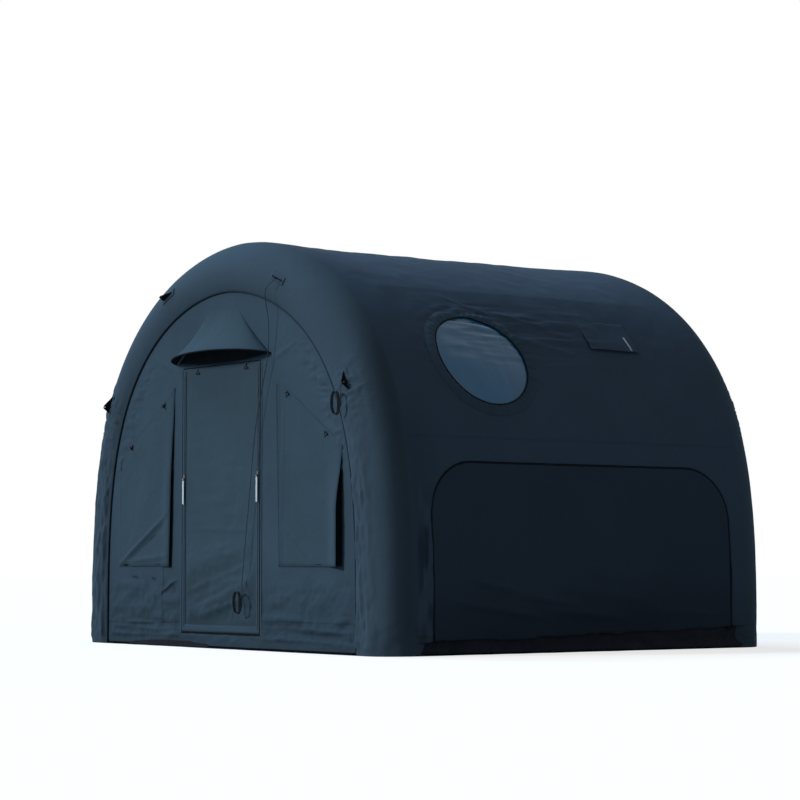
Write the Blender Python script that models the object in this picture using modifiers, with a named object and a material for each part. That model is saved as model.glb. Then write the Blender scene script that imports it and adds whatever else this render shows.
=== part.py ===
# Inflatable tent: two air-filled arch beams in fabric sleeves, three spreader beams,
# a roof skin with round windows, vents and side panels, a front wall with a door, a rain
# hood and covered windows, a rear wall, a tray groundsheet, guy anchors and a guy line.
# Metres, +Z up. The origin is the middle of the floor, the door faces -Y.
import math

import bmesh
import bpy
from mathutils import Matrix, Vector

# Overall size
TENT_WIDTH = 2.90
TENT_HEIGHT = 2.10
TENT_LENGTH = 2.49
BEAM_DIAMETER = 0.348
ARCH_SIDE_POWER = 1.87
ARCH_TOP_POWER = 3.44

# Sheet thicknesses and clearance
GAP = 0.0003
SEAM_GAP = 0.0012
FABRIC = 0.002
BLADDER_WALL = 0.0015
MESH_SHEET = 0.001
WINDOW_FILM = 0.001
ZIP_TAPE = 0.001
WEBBING = 0.0025

# Facets of the arch tubes
ARCH_RINGS = 22
BEND_SHARE = 0.9
SAMPLES = 1440
SLEEVE_SIDES = 12
SEAM_STEP = 4
FOOT_CUFF = 0.06
BLADDER_LIFT = 0.005

# Spreader beams
SPREADER_DIAMETER = 0.12
SPREADER_SIDES = 12
EAVE_BEAM_SHARE = 0.6124

# Roof skin
SKIN_HEM_HEIGHT = 0.065
SKIN_OVERHANG = 0.02
TRAY_HEIGHT = 0.10
TRAY_END_CLEARANCE = 0.04

# Door
DOOR_CENTRE_X = -0.03
DOOR_WIDTH = 0.75
DOOR_TOP_DROP = 0.4637
DOOR_BOTTOM = 0.085
DOOR_FOLD_DEPTH = 0.012
DOOR_FOLD_FOOT_SHARE = 0.05
DOOR_FOLD_HEIGHT_SHARE = 0.42
DOOR_FOLD_COUNT = 5.2
DOOR_FOLD_SLANT = 0.8
DOOR_FLAT_BORDER = 0.07
DOOR_ZIP_WIDTH = 0.05
DOOR_ZIP_INSIDE = 0.035
DOOR_ZIP_TOP_DROP = 0.015
UPSTAND_DROP = 0.005

# Front windows, given for the +X side and mirrored for the other
WINDOW_DOOR_GAP = 0.109
WINDOW_INNER_LEAN = 0.031
WINDOW_LEG_GAP = 0.0337
WINDOW_INNER_TOP_DROP = 0.5537
WINDOW_OUTER_TOP_DROP = 0.9197
WINDOW_BOTTOM = 0.42
WINDOW_ZIP_WIDTH = 0.022
WINDOW_MESH_LAP = 0.012
COVER_CURL_RIGHT = 0.036
COVER_CURL_LEFT = 0.014
COVER_BULGE = 0.006
COVER_FLAT_SHARE = 0.12
COVER_CURL_SHARE = 0.28
COVER_HELD_SHARE = 0.55
COVER_CURL_POWER = 1.5
COVER_RIPPLES = 1.5

# Rain hood over the door
HOOD_CENTRE_X = -0.016
HOOD_DOOR_GAP = 0.027
HOOD_HEIGHT = 0.288
HOOD_TOP_HALF = 0.13
HOOD_BOTTOM_HALF = 0.455
HOOD_TOP_DEPTH = 0.015
HOOD_BOTTOM_DEPTH = 0.17
HOOD_EDGE_RISE = 0.03
HOOD_WIDTH_POWER = 1.3
HOOD_DEPTH_POWER = 1.2
HOOD_BOW_RADIUS = 0.004
BOW_STEPS = 16
HOOD_WALL_MARGIN = 0.0005
HOOD_VENT_HALF = 0.16
HOOD_VENT_RISE = 0.058
HOOD_VENT_HEIGHT = 0.13
HOOD_VENT_LAP = 0.02

# Round windows in the roof skin, placed by a share of the way up the skin
ROUND_ARC_SHARE = 0.5147
ROUND_Y_SHARE = -0.4323
ROUND_DIAMETER = 0.535
ROUND_RIM_WIDTH = 0.066
ROUND_PANE_LAP = 0.02
ROUND_SIDES = 32

# Vents in the roof skin
VENT_TOP_SHARE = 0.6214
VENT_HEIGHT = 0.214
VENT_Y_SHARE = 0.4248
VENT_FLAP_WIDTH = 0.33
VENT_BORDER = 0.028
VENT_MESH_LAP = 0.012
STAY_WIDTH = 0.014
STAY_LENGTH = 0.11
STAY_OFFSET = 0.11
STAY_THICKNESS = 0.0015

# Side panels
PANEL_END_GAP = 0.111
PANEL_TOP = 0.92
PANEL_CORNER = 0.26
PANEL_ZIP_OUTSIDE = 0.015
PANEL_ZIP_INSIDE = 0.02
CORNER_STEPS = 8

# Zip sliders and their pulls
SLIDER_HEIGHT = 0.888
SLIDER_INSET = 0.02
SLIDER_BASE_WIDTH = 0.014
SLIDER_BASE_LENGTH = 0.026
SLIDER_BASE_DEPTH = 0.004
EAR_THICKNESS = 0.0025
EAR_LENGTH = 0.008
EAR_REACH = 0.008
EAR_SPACING = 0.006
PIN_RADIUS = 0.0015
PIN_REACH = 0.0045
PULL_CLEARANCE = 0.0003
PULL_EYE_WALL = 0.0014
PULL_NECK_LENGTH = 0.007
PULL_NECK_SHARE = 0.8
PULL_TAB_WIDTH = 0.014
PULL_TAB_LENGTH = 0.122
PULL_THICKNESS = 0.002
PIN_SIDES = 12

# Toggles
TOGGLE_RADIUS = 0.005
TOGGLE_LENGTH = 0.034
TOGGLE_SIDES = 10
TOGGLE_EDGE = 0.0015
DOOR_TOGGLE_DROP = 0.031
DOOR_TOGGLE_LEFT_X = -0.256
DOOR_TOGGLE_RIGHT_X = 0.210
WINDOW_TOGGLE_DROP = 0.022
WINDOW_TOGGLE_SHARES = (0.19, 0.77)

# Inflation valve on the front beam's left leg, facing the cabin
VALVE_STEM_RADIUS = 0.012
VALVE_STEM_LENGTH = 0.014
VALVE_FLANGE_RADIUS = 0.020
VALVE_FLANGE_DEPTH = 0.014
VALVE_BORE_RADIUS = 0.008
VALVE_PORT_CLEARANCE = 0.0004
CAP_RADIUS = 0.016
CAP_DEPTH = 0.004
CAP_PLUG_CLEARANCE = 0.0007
CAP_PLUG_DEPTH = 0.0025
CAP_HINGE_OFFSET = 0.001
VALVE_SIDES = 20

# Guy anchors
ANCHOR_PATCH_LENGTH = 0.12
ANCHOR_PATCH_WIDTH = 0.04
ANCHOR_FIN_LENGTH = 0.11
ANCHOR_FIN_HEIGHT = 0.052
ANCHOR_TIP_SHIFT = 0.02
ANCHOR_TIP_WIDTH = 0.016
ANCHOR_HOLE_DROP = 0.010
UPPER_ANCHOR_SHARE = 0.8234
LOWER_ANCHOR_SHARE = 0.5047
UPPER_ANCHOR_SECTOR = 2
LOWER_ANCHOR_SECTOR = 2

# Guy line, its hank at the door and the hank on the lower anchor
ROPE_DIAMETER = 0.004
LINE_POINTS = 46
LINE_ROUTE = (
    (0.489, -1.292, 1.790),
    (0.476, -1.262, 1.640),
    (0.458, -1.254, 1.480),
    (0.410, -1.252, 1.330),
    (0.340, -1.252, 1.090),
    (0.282, -1.254, 0.700),
    (0.236, -1.256, 0.380),
    (0.232, -1.257, 0.310),
)
HANK_WIDTH = 0.062
HANK_HEIGHT = 0.115
HANK_LOOPS = 4
HANK_LOOP_POINTS = 24
HANK_PITCH = 0.0048
HANK_LEAD = 0.012
HANK_TAIL = 0.045
KNOT_LENGTH = 0.005
HOLE_LEAD = 0.008
LOWER_HANK_DROP = 0.020

# Worked-out sizes
BEAM_RADIUS = BEAM_DIAMETER / 2
ROPE_RADIUS = ROPE_DIAMETER / 2
SKIN_INNER = BEAM_RADIUS + GAP
SKIN_OUTER = SKIN_INNER + FABRIC
FLOOR_TOP = FABRIC
FOOT_Z = FLOOR_TOP + GAP
ARCH_HALF_SPAN = TENT_WIDTH / 2 - SKIN_OUTER
ARCH_RISE = TENT_HEIGHT - SKIN_OUTER - FOOT_Z
BEAM_Y = TENT_LENGTH / 2 - BEAM_RADIUS
SECTOR = 2 * math.pi / SLEEVE_SIDES
SEAM_ANGLE = SEAM_STEP * SECTOR
WALL_OUT = BEAM_Y + BEAM_RADIUS * math.sin(SEAM_ANGLE)
WALL_IN = WALL_OUT - FABRIC
TAPE_OUT = WALL_OUT + GAP + ZIP_TAPE
COVER_IN = TAPE_OUT + GAP
OVERRUN = 0.05
ARCH_CROWN = FOOT_Z + ARCH_RISE
DOOR_TOP = ARCH_CROWN - DOOR_TOP_DROP
DOOR_ZIP_TOP = DOOR_TOP - DOOR_ZIP_TOP_DROP
WINDOW_INNER_TOP_X = DOOR_WIDTH / 2 + WINDOW_DOOR_GAP
WINDOW_INNER_BOTTOM_X = WINDOW_INNER_TOP_X + WINDOW_INNER_LEAN
WINDOW_OUTER_X = ARCH_HALF_SPAN - BEAM_RADIUS - WINDOW_LEG_GAP
WINDOW_INNER_TOP = ARCH_CROWN - WINDOW_INNER_TOP_DROP
WINDOW_OUTER_TOP = ARCH_CROWN - WINDOW_OUTER_TOP_DROP
HOOD_BOTTOM = DOOR_TOP + HOOD_DOOR_GAP
HOOD_TOP = HOOD_BOTTOM + HOOD_HEIGHT
HOOD_VENT_BOTTOM = HOOD_BOTTOM + HOOD_VENT_RISE
HOOD_VENT_TOP = HOOD_VENT_BOTTOM + HOOD_VENT_HEIGHT
ROUND_Y = ROUND_Y_SHARE * BEAM_Y
VENT_Y = VENT_Y_SHARE * BEAM_Y
STAY_Y = VENT_Y + STAY_OFFSET
PANEL_WIDTH = 2 * (BEAM_Y - PANEL_END_GAP)

# Colours as linear red, green and blue
CLOTH_FRONT = (0.040, 0.068, 0.105)
CLOTH_DOOR = (0.038, 0.064, 0.088)
CLOTH_HOOD = (0.052, 0.096, 0.142)
CLOTH_ROOF = (0.016, 0.030, 0.052)
CLOTH_PANEL = (0.010, 0.018, 0.030)
GROUND_BLACK = (0.012, 0.012, 0.018)
FILM_BLUE = (0.060, 0.160, 0.260)
URETHANE_GREY = (0.420, 0.430, 0.420)
WEB_BLACK = (0.006, 0.006, 0.008)
MESH_BLACK = (0.008, 0.010, 0.014)
PULL_PALE = (0.560, 0.620, 0.680)
TOGGLE_BLACK = (0.015, 0.016, 0.020)
VALVE_GREY = (0.080, 0.085, 0.095)
ROPE_GREY = (0.200, 0.220, 0.240)
STAY_PALE = (0.300, 0.380, 0.440)


def clear_scene():
    for old in list(bpy.data.objects):
        bpy.data.objects.remove(old, do_unlink=True)


def new_collection(name):
    group = bpy.data.collections.new(name)
    bpy.context.scene.collection.children.link(group)
    return group


def principled(name, colour, roughness, metallic=0.0):
    found = bpy.data.materials.get(name)
    if found:
        return found
    made = bpy.data.materials.new(name)
    made.use_nodes = True
    shader = made.node_tree.nodes["Principled BSDF"]
    shader.inputs["Base Color"].default_value = (*colour, 1.0)
    shader.inputs["Roughness"].default_value = roughness
    shader.inputs["Metallic"].default_value = metallic
    return made


def cloth(name, colour):
    return principled(name, colour, 0.75)


def link(obj, material=None):
    parts.objects.link(obj)
    if material:
        obj.data.materials.clear()
        obj.data.materials.append(material)
    return obj


def as_cutter(obj):
    for group in list(obj.users_collection):
        group.objects.unlink(obj)
    cutters.objects.link(obj)
    obj.hide_render = True
    obj.display_type = "WIRE"
    return obj


def boolean(obj, other, operation="DIFFERENCE"):
    step = obj.modifiers.new(operation.title(), "BOOLEAN")
    step.operation = operation
    step.object = other
    step.solver = "EXACT"
    return obj


def solidify(obj, thickness, side=1.0):
    step = obj.modifiers.new("Thickness", "SOLIDIFY")
    step.thickness = thickness
    step.offset = side
    step.use_even_offset = True
    return obj


def to_mesh(obj):
    """Replace a curve or a modified object by its plain evaluated mesh."""
    bpy.context.view_layer.update()
    graph = bpy.context.evaluated_depsgraph_get()
    mesh = bpy.data.meshes.new_from_object(obj.evaluated_get(graph))
    shape = bmesh.new()
    shape.from_mesh(mesh)
    bmesh.ops.remove_doubles(shape, verts=shape.verts, dist=GAP / 30)
    shape.to_mesh(mesh)
    shape.free()
    made = bpy.data.objects.new(obj.name, mesh)
    made.matrix_world = obj.matrix_world
    for group in list(obj.users_collection):
        group.objects.link(made)
    name = obj.name
    bpy.data.objects.remove(obj, do_unlink=True)
    made.name = name
    return made


def smooth(obj, angle=math.radians(40)):
    obj.data.shade_smooth()
    obj.data.set_sharp_from_angle(angle=angle)
    return obj


def tube(name, points, radius, resolution, caps):
    """A round tube along straight runs, as a bevelled curve."""
    data = bpy.data.curves.new(name, "CURVE")
    data.dimensions = "3D"
    data.resolution_u = 1
    data.render_resolution_u = 0
    data.bevel_depth = radius
    data.bevel_resolution = resolution
    data.use_fill_caps = caps
    spline = data.splines.new("POLY")
    spline.points.add(len(points) - 1)
    for slot, point in zip(spline.points, points):
        slot.co = (*point, 1.0)
    return link(bpy.data.objects.new(name, data))


def flat_sheet(name, loops, thickness, material=None):
    """A flat sheet in the XY plane, with each loop after the first a hole."""
    data = bpy.data.curves.new(name, "CURVE")
    data.dimensions = "2D"
    data.fill_mode = "BOTH"
    data.resolution_u = 1
    data.render_resolution_u = 0
    data.extrude = thickness / 2
    for loop in loops:
        spline = data.splines.new("POLY")
        spline.points.add(len(loop) - 1)
        for slot, point in zip(spline.points, loop):
            slot.co = (point[0], point[1], 0.0, 1.0)
        spline.use_cyclic_u = True
    return link(bpy.data.objects.new(name, data), material)


def upright_sheet(name, loops, face_out, thickness, material=None):
    """A flat sheet in an XZ plane whose front face is face_out in front of the origin."""
    sheet = flat_sheet(name, loops, thickness, material)
    sheet.rotation_euler = (math.pi / 2, 0.0, 0.0)
    sheet.location = (0.0, thickness / 2 - face_out, 0.0)
    return sheet


def block(name, size, location, turn=None):
    """A box with its scale applied."""
    data = bpy.data.meshes.new(name)
    shape = bmesh.new()
    bmesh.ops.create_cube(shape, size=1.0)
    bmesh.ops.scale(shape, vec=size, verts=shape.verts)
    shape.to_mesh(data)
    shape.free()
    box = link(bpy.data.objects.new(name, data))
    if turn is not None:
        box.matrix_world = turn
    box.location = location
    return box


def cylinder(name, radius, length, sides, location, axis):
    """A cylinder centred at a place, along an axis."""
    data = bpy.data.meshes.new(name)
    shape = bmesh.new()
    bmesh.ops.create_cone(
        shape, cap_ends=True, segments=sides, radius1=radius, radius2=radius, depth=length
    )
    shape.to_mesh(data)
    shape.free()
    made = link(bpy.data.objects.new(name, data))
    made.rotation_mode = "QUATERNION"
    made.rotation_quaternion = Vector(axis).to_track_quat("Z", "Y")
    made.location = location
    return smooth(made)


def turned(name, profile, steps):
    """A closed profile, x out and z along the axis, turned round Z."""
    data = bpy.data.meshes.new(name)
    shape = bmesh.new()
    corners = [shape.verts.new((x, 0.0, z)) for x, z in profile]
    for first, second in zip(corners, corners[1:] + corners[:1]):
        shape.edges.new((first, second))
    shape.to_mesh(data)
    shape.free()
    made = link(bpy.data.objects.new(name, data))
    step = made.modifiers.new("Turn", "SCREW")
    step.steps = steps
    step.render_steps = steps
    step.use_merge_vertices = True
    step.merge_threshold = GAP / 30
    return made


def hang(name, location, children):
    """Put moving pieces under an empty that stands on their joint's axis."""
    pivot = bpy.data.objects.new(name, None)
    parts.objects.link(pivot)
    pivot.location = location
    bpy.context.view_layer.update()
    for child in children:
        child.parent = pivot
        child.matrix_parent_inverse = pivot.matrix_world.inverted()
    return pivot


def blend(first, second, share):
    return first + (second - first) * share


def ease(share):
    share = min(1.0, max(0.0, share))
    return share * share * (3.0 - 2.0 * share)


# Arch geometry

def arch_curve(angle):
    """The beam's centreline, a blunt oval from the right foot over to the left foot."""
    across = math.cos(angle)
    x = ARCH_HALF_SPAN * math.copysign(abs(across) ** (2 / ARCH_SIDE_POWER), across)
    z = FOOT_Z + ARCH_RISE * abs(math.sin(angle)) ** (2 / ARCH_TOP_POWER)
    return Vector((x, z))


def arch_centreline():
    """Points along the centreline, closer together where it bends."""
    fine = [arch_curve(math.pi * step / SAMPLES) for step in range(SAMPLES + 1)]
    fine[0] = Vector((ARCH_HALF_SPAN, FOOT_Z))
    fine[-1] = Vector((-ARCH_HALF_SPAN, FOOT_Z))
    runs = [second - first for first, second in zip(fine, fine[1:])]
    length = sum(run.length for run in runs)
    turns = [abs(a.angle_signed(b)) for a, b in zip(runs, runs[1:])]
    turn = sum(turns)
    progress = [0.0]
    for place, run in enumerate(runs):
        bend = turns[place] if place < len(turns) else 0.0
        progress.append(progress[-1] + run.length / length + BEND_SHARE * bend / turn)
    points = [fine[0], arch_at_height(fine, FOOT_Z + FOOT_CUFF)]
    for ring in range(1, ARCH_RINGS):
        target = progress[-1] * ring / ARCH_RINGS
        place = next(i for i, done in enumerate(progress) if done >= target)
        share = (target - progress[place - 1]) / (progress[place] - progress[place - 1])
        points.append(fine[place - 1].lerp(fine[place], share))
    points.append(Vector((-points[1].x, points[1].y)))
    points.append(fine[-1])
    return mirror_even(points)


def arch_at_height(fine, height):
    place = next(i for i, point in enumerate(fine) if point.y >= height)
    below = fine[place - 1]
    above = fine[place]
    return below.lerp(above, (height - below.y) / (above.y - below.y))


def mirror_even(points):
    """Make both halves of the centreline the exact mirror of each other."""
    count = len(points)
    even = []
    for place in range(count):
        here = points[place]
        there = points[count - 1 - place]
        even.append(Vector(((here.x - there.x) / 2, (here.y + there.y) / 2)))
    return even


def arch_normals(points):
    """Outward directions in the arch's plane, square to the bend at each point."""
    normals = []
    for place in range(len(points)):
        before = points[place] - points[max(place - 1, 0)]
        after = points[min(place + 1, len(points) - 1)] - points[place]
        along = (before.normalized() if before.length else Vector((0, 0)))
        along = along + (after.normalized() if after.length else Vector((0, 0)))
        along.normalize()
        normals.append(Vector((along.y, -along.x)))
    return normals


def arch_offset(distance):
    return [point + normal * distance for point, normal in zip(centreline, outward)]


def skin_outline(distance, side=0):
    """The skin's section at a distance from the beam's centreline, hem to hem."""
    line = arch_offset(distance)
    hem_share = (SKIN_HEM_HEIGHT - line[0].y) / (line[1].y - line[0].y)
    if hem_share <= 1.0:
        line[0] = line[0].lerp(line[1], hem_share)
    else:
        line = [arch_at_height(line, SKIN_HEM_HEIGHT)] + [p for p in line if p.y > SKIN_HEM_HEIGHT]
        line = [p for p in line if p.x > 0 or p.y > SKIN_HEM_HEIGHT]
    line[0] = Vector((line[0].x, SKIN_HEM_HEIGHT))
    if side == 0:
        half = [point for point in line if point.x > GAP]
        crown = [point for point in line if abs(point.x) <= GAP]
        return half + crown + [Vector((-p.x, p.y)) for p in reversed(half)]
    half = [point for point in line if point.x > -GAP]
    return [Vector((side * point.x, point.y)) for point in half]


def run_length(points):
    return sum((second - first).length for first, second in zip(points, points[1:]))


def skin_base():
    """The skin's outer line from the ground on the right side over to the left side."""
    return [Vector((SKIN_OUTER + ARCH_HALF_SPAN, 0.0))] + arch_offset(SKIN_OUTER)[1:]


def skin_arc(share):
    """The length up the skin at a share of the way from the ground to the crown."""
    base = skin_base()
    return share * run_length(base[:len(base) // 2 + 1])


def skin_place(arc, distance, side):
    """A place on the skin at an arc length above the ground: point, slope and normal."""
    base = skin_base()
    left = arc
    for first, second in zip(base, base[1:]):
        run = second - first
        if left <= run.length:
            break
        left -= run.length
    along = run.normalized()
    normal = Vector((along.y, -along.x))
    point = first + along * left + normal * (distance - SKIN_OUTER)
    spot = Vector((side * point.x, 0.0, point.y))
    return spot, Vector((side * along.x, 0.0, along.y)), Vector((side * normal.x, 0.0, normal.y))


def place_matrix(spot, along, normal):
    """X up the slope, Z out of the skin."""
    across = normal.cross(along)
    turn = Matrix((along, across, normal)).transposed().to_4x4()
    turn.translation = spot
    return turn


def strip(name, distance, thickness, side, half_length, centre_y=0.0):
    """A curved sheet that follows the arch, thickened outwards."""
    outline = skin_outline(distance, side)
    data = bpy.data.meshes.new(name)
    shape = bmesh.new()
    corners = [shape.verts.new((p.x, centre_y - half_length, p.y)) for p in outline]
    edges = [shape.edges.new(pair) for pair in zip(corners, corners[1:])]
    grown = bmesh.ops.extrude_edge_only(shape, edges=edges)["geom"]
    moved = [item for item in grown if isinstance(item, bmesh.types.BMVert)]
    bmesh.ops.translate(shape, vec=(0.0, 2 * half_length, 0.0), verts=moved)
    shape.normal_update()
    shape.faces.ensure_lookup_table()
    top = max(shape.faces, key=lambda face: face.calc_center_median().z)
    if top.normal.z < 0:
        bmesh.ops.reverse_faces(shape, faces=shape.faces)
    shape.to_mesh(data)
    shape.free()
    return solidify(link(bpy.data.objects.new(name, data)), thickness)


def arch_path(distance=0.0, y=0.0, lift=0.0):
    points = [Vector((p.x, y, p.y)) for p in arch_offset(distance)]
    points[0].z += lift
    points[-1].z += lift
    return points


def sleeve_seat(depth):
    """How far inside the centreline the sleeve lies, at a depth behind the front seam."""
    here = SEAM_ANGLE
    beyond = SEAM_ANGLE + SECTOR
    drop = BEAM_RADIUS * (math.sin(here) - math.sin(beyond))
    share = depth / drop
    across = blend(math.cos(here), math.cos(beyond), share)
    return -BEAM_RADIUS * across


# Frame

def arch_cutter(name, y):
    solid = to_mesh(tube(name, arch_path(y=y), BEAM_RADIUS + GAP, SLEEVE_SIDES // 2 - 2, True))
    return as_cutter(solid)


def valve_axis():
    """The valve's place and direction: cabin side of the left leg, first facet over the cuff."""
    low, high = arch_offset(-BEAM_RADIUS)[1:3]
    along = (high - low).normalized()
    spot = (low + high) / 2
    return Vector((-spot.x, -BEAM_Y, spot.y)), Vector((along.y, 0.0, along.x))


def beam_sleeve(name, y):
    tube_skin = to_mesh(tube(name, arch_path(y=y), BEAM_RADIUS, SLEEVE_SIDES // 2 - 2, False))
    link_material(tube_skin, cloth("sleeve_cloth", CLOTH_FRONT))
    face_outwards(tube_skin)
    return solidify(smooth(tube_skin), FABRIC, -1.0)


def link_material(obj, material):
    obj.data.materials.clear()
    obj.data.materials.append(material)
    return obj


def face_outwards(obj):
    """Turn the faces of an open tube away from its own centreline."""
    shape = bmesh.new()
    shape.from_mesh(obj.data)
    shape.normal_update()
    top = max(shape.faces, key=lambda face: face.calc_center_median().z)
    if top.normal.z < 0:
        bmesh.ops.reverse_faces(shape, faces=shape.faces)
    shape.to_mesh(obj.data)
    shape.free()


def bladder(name, y):
    """A hollow air bladder: a capped tube round an inner one, open at its valve port."""
    radius = BEAM_RADIUS - FABRIC / math.cos(math.pi / SLEEVE_SIDES) - GAP
    path = arch_path(y=y, lift=BLADDER_LIFT)
    core_path = arch_path(y=y, lift=BLADDER_LIFT + BLADDER_WALL)
    sides = SLEEVE_SIDES // 2 - 2
    body = to_mesh(tube(name, path, radius, sides, True))
    link_material(body, principled("bladder_film", URETHANE_GREY, 0.45))
    core = to_mesh(tube(name + "_air", core_path, radius - BLADDER_WALL, sides, True))
    boolean(body, as_cutter(core))
    return body


def port_cutter(name, spot, axis, radius):
    reach = VALVE_STEM_LENGTH * 2
    return as_cutter(cylinder(name, radius, reach, VALVE_SIDES, spot, axis))


def valve():
    """A flanged stem through the sleeve and the bladder, with a hinged cap."""
    spot, axis = valve_axis()
    seat = GAP
    flange_top = seat + VALVE_FLANGE_DEPTH
    body = turned(
        "front_beam_valve",
        (
            (VALVE_FLANGE_RADIUS, flange_top),
            (VALVE_FLANGE_RADIUS, seat),
            (VALVE_STEM_RADIUS, seat),
            (VALVE_STEM_RADIUS, -VALVE_STEM_LENGTH),
            (VALVE_BORE_RADIUS, -VALVE_STEM_LENGTH),
            (VALVE_BORE_RADIUS, flange_top),
        ),
        VALVE_SIDES,
    )
    body.rotation_mode = "QUATERNION"
    body.rotation_quaternion = axis.to_track_quat("Z", "Y")
    body.location = spot
    cap_seat = flange_top + GAP
    middle = spot + axis * (cap_seat + CAP_DEPTH / 2)
    cap = cylinder("front_valve_cap", CAP_RADIUS, CAP_DEPTH, VALVE_SIDES, middle, axis)
    plug = VALVE_BORE_RADIUS - CAP_PLUG_CLEARANCE
    middle = spot + axis * (cap_seat + (CAP_DEPTH / 2 - CAP_PLUG_DEPTH) / 2)
    length = CAP_PLUG_DEPTH + CAP_DEPTH / 2
    boolean(cap, as_cutter(cylinder("cap_plug", plug, length, VALVE_SIDES, middle, axis)), "UNION")
    link_material(body, principled("valve_plastic", VALVE_GREY, 0.4))
    link_material(cap, principled("cap_plastic", VALVE_GREY, 0.4))
    edge = axis.cross(Vector((0.0, 1.0, 0.0))) * -(CAP_RADIUS + CAP_HINGE_OFFSET)
    hinge = spot + axis * (cap_seat + CAP_DEPTH / 2) + (edge if edge.z > 0 else -edge)
    hang("valve_cap_hinge", hinge, [cap])


def frame():
    sleeve_front = beam_sleeve("front_beam_sleeve", -BEAM_Y)
    beam_sleeve("rear_beam_sleeve", BEAM_Y)
    bladder_front = bladder("front_beam_bladder", -BEAM_Y)
    bladder_rear = bladder("rear_beam_bladder", BEAM_Y)
    spot, axis = valve_axis()
    port = port_cutter("valve_port", spot, axis, VALVE_STEM_RADIUS + VALVE_PORT_CLEARANCE)
    boolean(sleeve_front, port)
    boolean(bladder_front, port)
    link_port = Vector((spot.x, BEAM_Y, spot.z))
    boolean(bladder_rear, port_cutter("link_port", link_port, axis, VALVE_BORE_RADIUS))
    valve()
    saddles = [arch_cutter("front_saddle", -BEAM_Y), arch_cutter("rear_saddle", BEAM_Y)]
    crown = len(centreline) // 2
    eave_x = EAVE_BEAM_SHARE * ARCH_HALF_SPAN
    eave = min(range(crown), key=lambda ring: abs(centreline[ring].x - eave_x))
    spreader("ridge_beam", crown, saddles)
    spreader("right_eave_beam", eave, saddles)
    spreader("left_eave_beam", len(centreline) - 1 - eave, saddles)


def spreader(name, ring, saddles):
    """A straight air beam under the roof skin, its ends shaped to the arch sleeves."""
    radius = SPREADER_DIAMETER / 2
    point = centreline[ring] + outward[ring] * (BEAM_RADIUS - radius)
    half = BEAM_Y
    ends = [Vector((point.x, -half, point.y)), Vector((point.x, half, point.y))]
    lean = math.atan2(outward[ring].x, outward[ring].y)
    body = round_bar(name, ends, radius, lean)
    core_ends = [ends[0] - Vector((0, OVERRUN, 0)), ends[1] + Vector((0, OVERRUN, 0))]
    core = round_bar(name + "_air", core_ends, radius - BLADDER_WALL, lean)
    link_material(body, principled("spreader_film", URETHANE_GREY, 0.45))
    boolean(body, as_cutter(core))
    for saddle in saddles:
        boolean(body, saddle)
    return body


def round_bar(name, ends, radius, lean):
    """A bar along Y with one of its edges pointing along the lean from upright."""
    data = bpy.data.meshes.new(name)
    shape = bmesh.new()
    length = (ends[1] - ends[0]).length
    bmesh.ops.create_cone(
        shape, cap_ends=True, segments=SPREADER_SIDES, radius1=radius, radius2=radius, depth=length
    )
    shape.to_mesh(data)
    shape.free()
    bar = link(bpy.data.objects.new(name, data))
    upright = Matrix.Rotation(math.pi / 2, 4, "X")
    bar.matrix_world = Matrix.Rotation(lean, 4, "Y") @ upright
    bar.location = (ends[0] + ends[1]) / 2
    return smooth(bar)


# Floor

def rounded_rectangle(half_x, half_y, radius):
    corners = []
    for turn, (sign_x, sign_y) in enumerate(((1, 1), (-1, 1), (-1, -1), (1, -1))):
        middle = Vector((sign_x * (half_x - radius), sign_y * (half_y - radius)))
        for step in range(CORNER_STEPS + 1):
            angle = math.pi / 2 * (turn + step / CORNER_STEPS)
            corners.append(middle + radius * Vector((math.cos(angle), math.sin(angle))))
    return corners


def groundsheet():
    """A floor sheet whose sides stand up inside the hem."""
    half_x = ARCH_HALF_SPAN + BEAM_RADIUS
    half_y = BEAM_Y + BEAM_RADIUS
    floor = flat_sheet("groundsheet", [rounded_rectangle(half_x, half_y, BEAM_RADIUS)], FABRIC)
    floor.location.z = FABRIC / 2
    floor = to_mesh(floor)
    link_material(floor, principled("groundsheet_vinyl", GROUND_BLACK, 0.5))
    side_length = 2 * (BEAM_Y - TRAY_END_CLEARANCE)
    end_length = 2 * (ARCH_HALF_SPAN - sleeve_seat(2 * FABRIC + GAP) - FABRIC)
    end_height = DOOR_BOTTOM - UPSTAND_DROP
    skin_x = arch_at_height(arch_offset(SKIN_INNER), TRAY_HEIGHT).x
    for side in (-1, 1):
        wall_x = side * (skin_x - GAP - FABRIC / 2)
        rise = TRAY_HEIGHT - FABRIC / 2
        middle = (TRAY_HEIGHT + FABRIC / 2) / 2
        upstand = block("side_upstand", (FABRIC, side_length, rise), (wall_x, 0.0, middle))
        boolean(floor, as_cutter(upstand), "UNION")
        wall_y = side * (WALL_IN - GAP - FABRIC / 2)
        rise = end_height - FABRIC / 2
        middle = (end_height + FABRIC / 2) / 2
        upstand = block("end_upstand", (end_length, FABRIC, rise), (0.0, wall_y, middle))
        boolean(floor, as_cutter(upstand), "UNION")
    return floor


# Walls

def wall_outline():
    seat = sleeve_seat(FABRIC) + GAP
    return [point.copy() for point in arch_offset(-seat)]


def door_edges():
    return DOOR_CENTRE_X - DOOR_WIDTH / 2, DOOR_CENTRE_X + DOOR_WIDTH / 2


def rectangle(left, right, bottom, top):
    corners = [(left, bottom), (right, bottom), (right, top), (left, top)]
    return [Vector(corner) for corner in corners]


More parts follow.
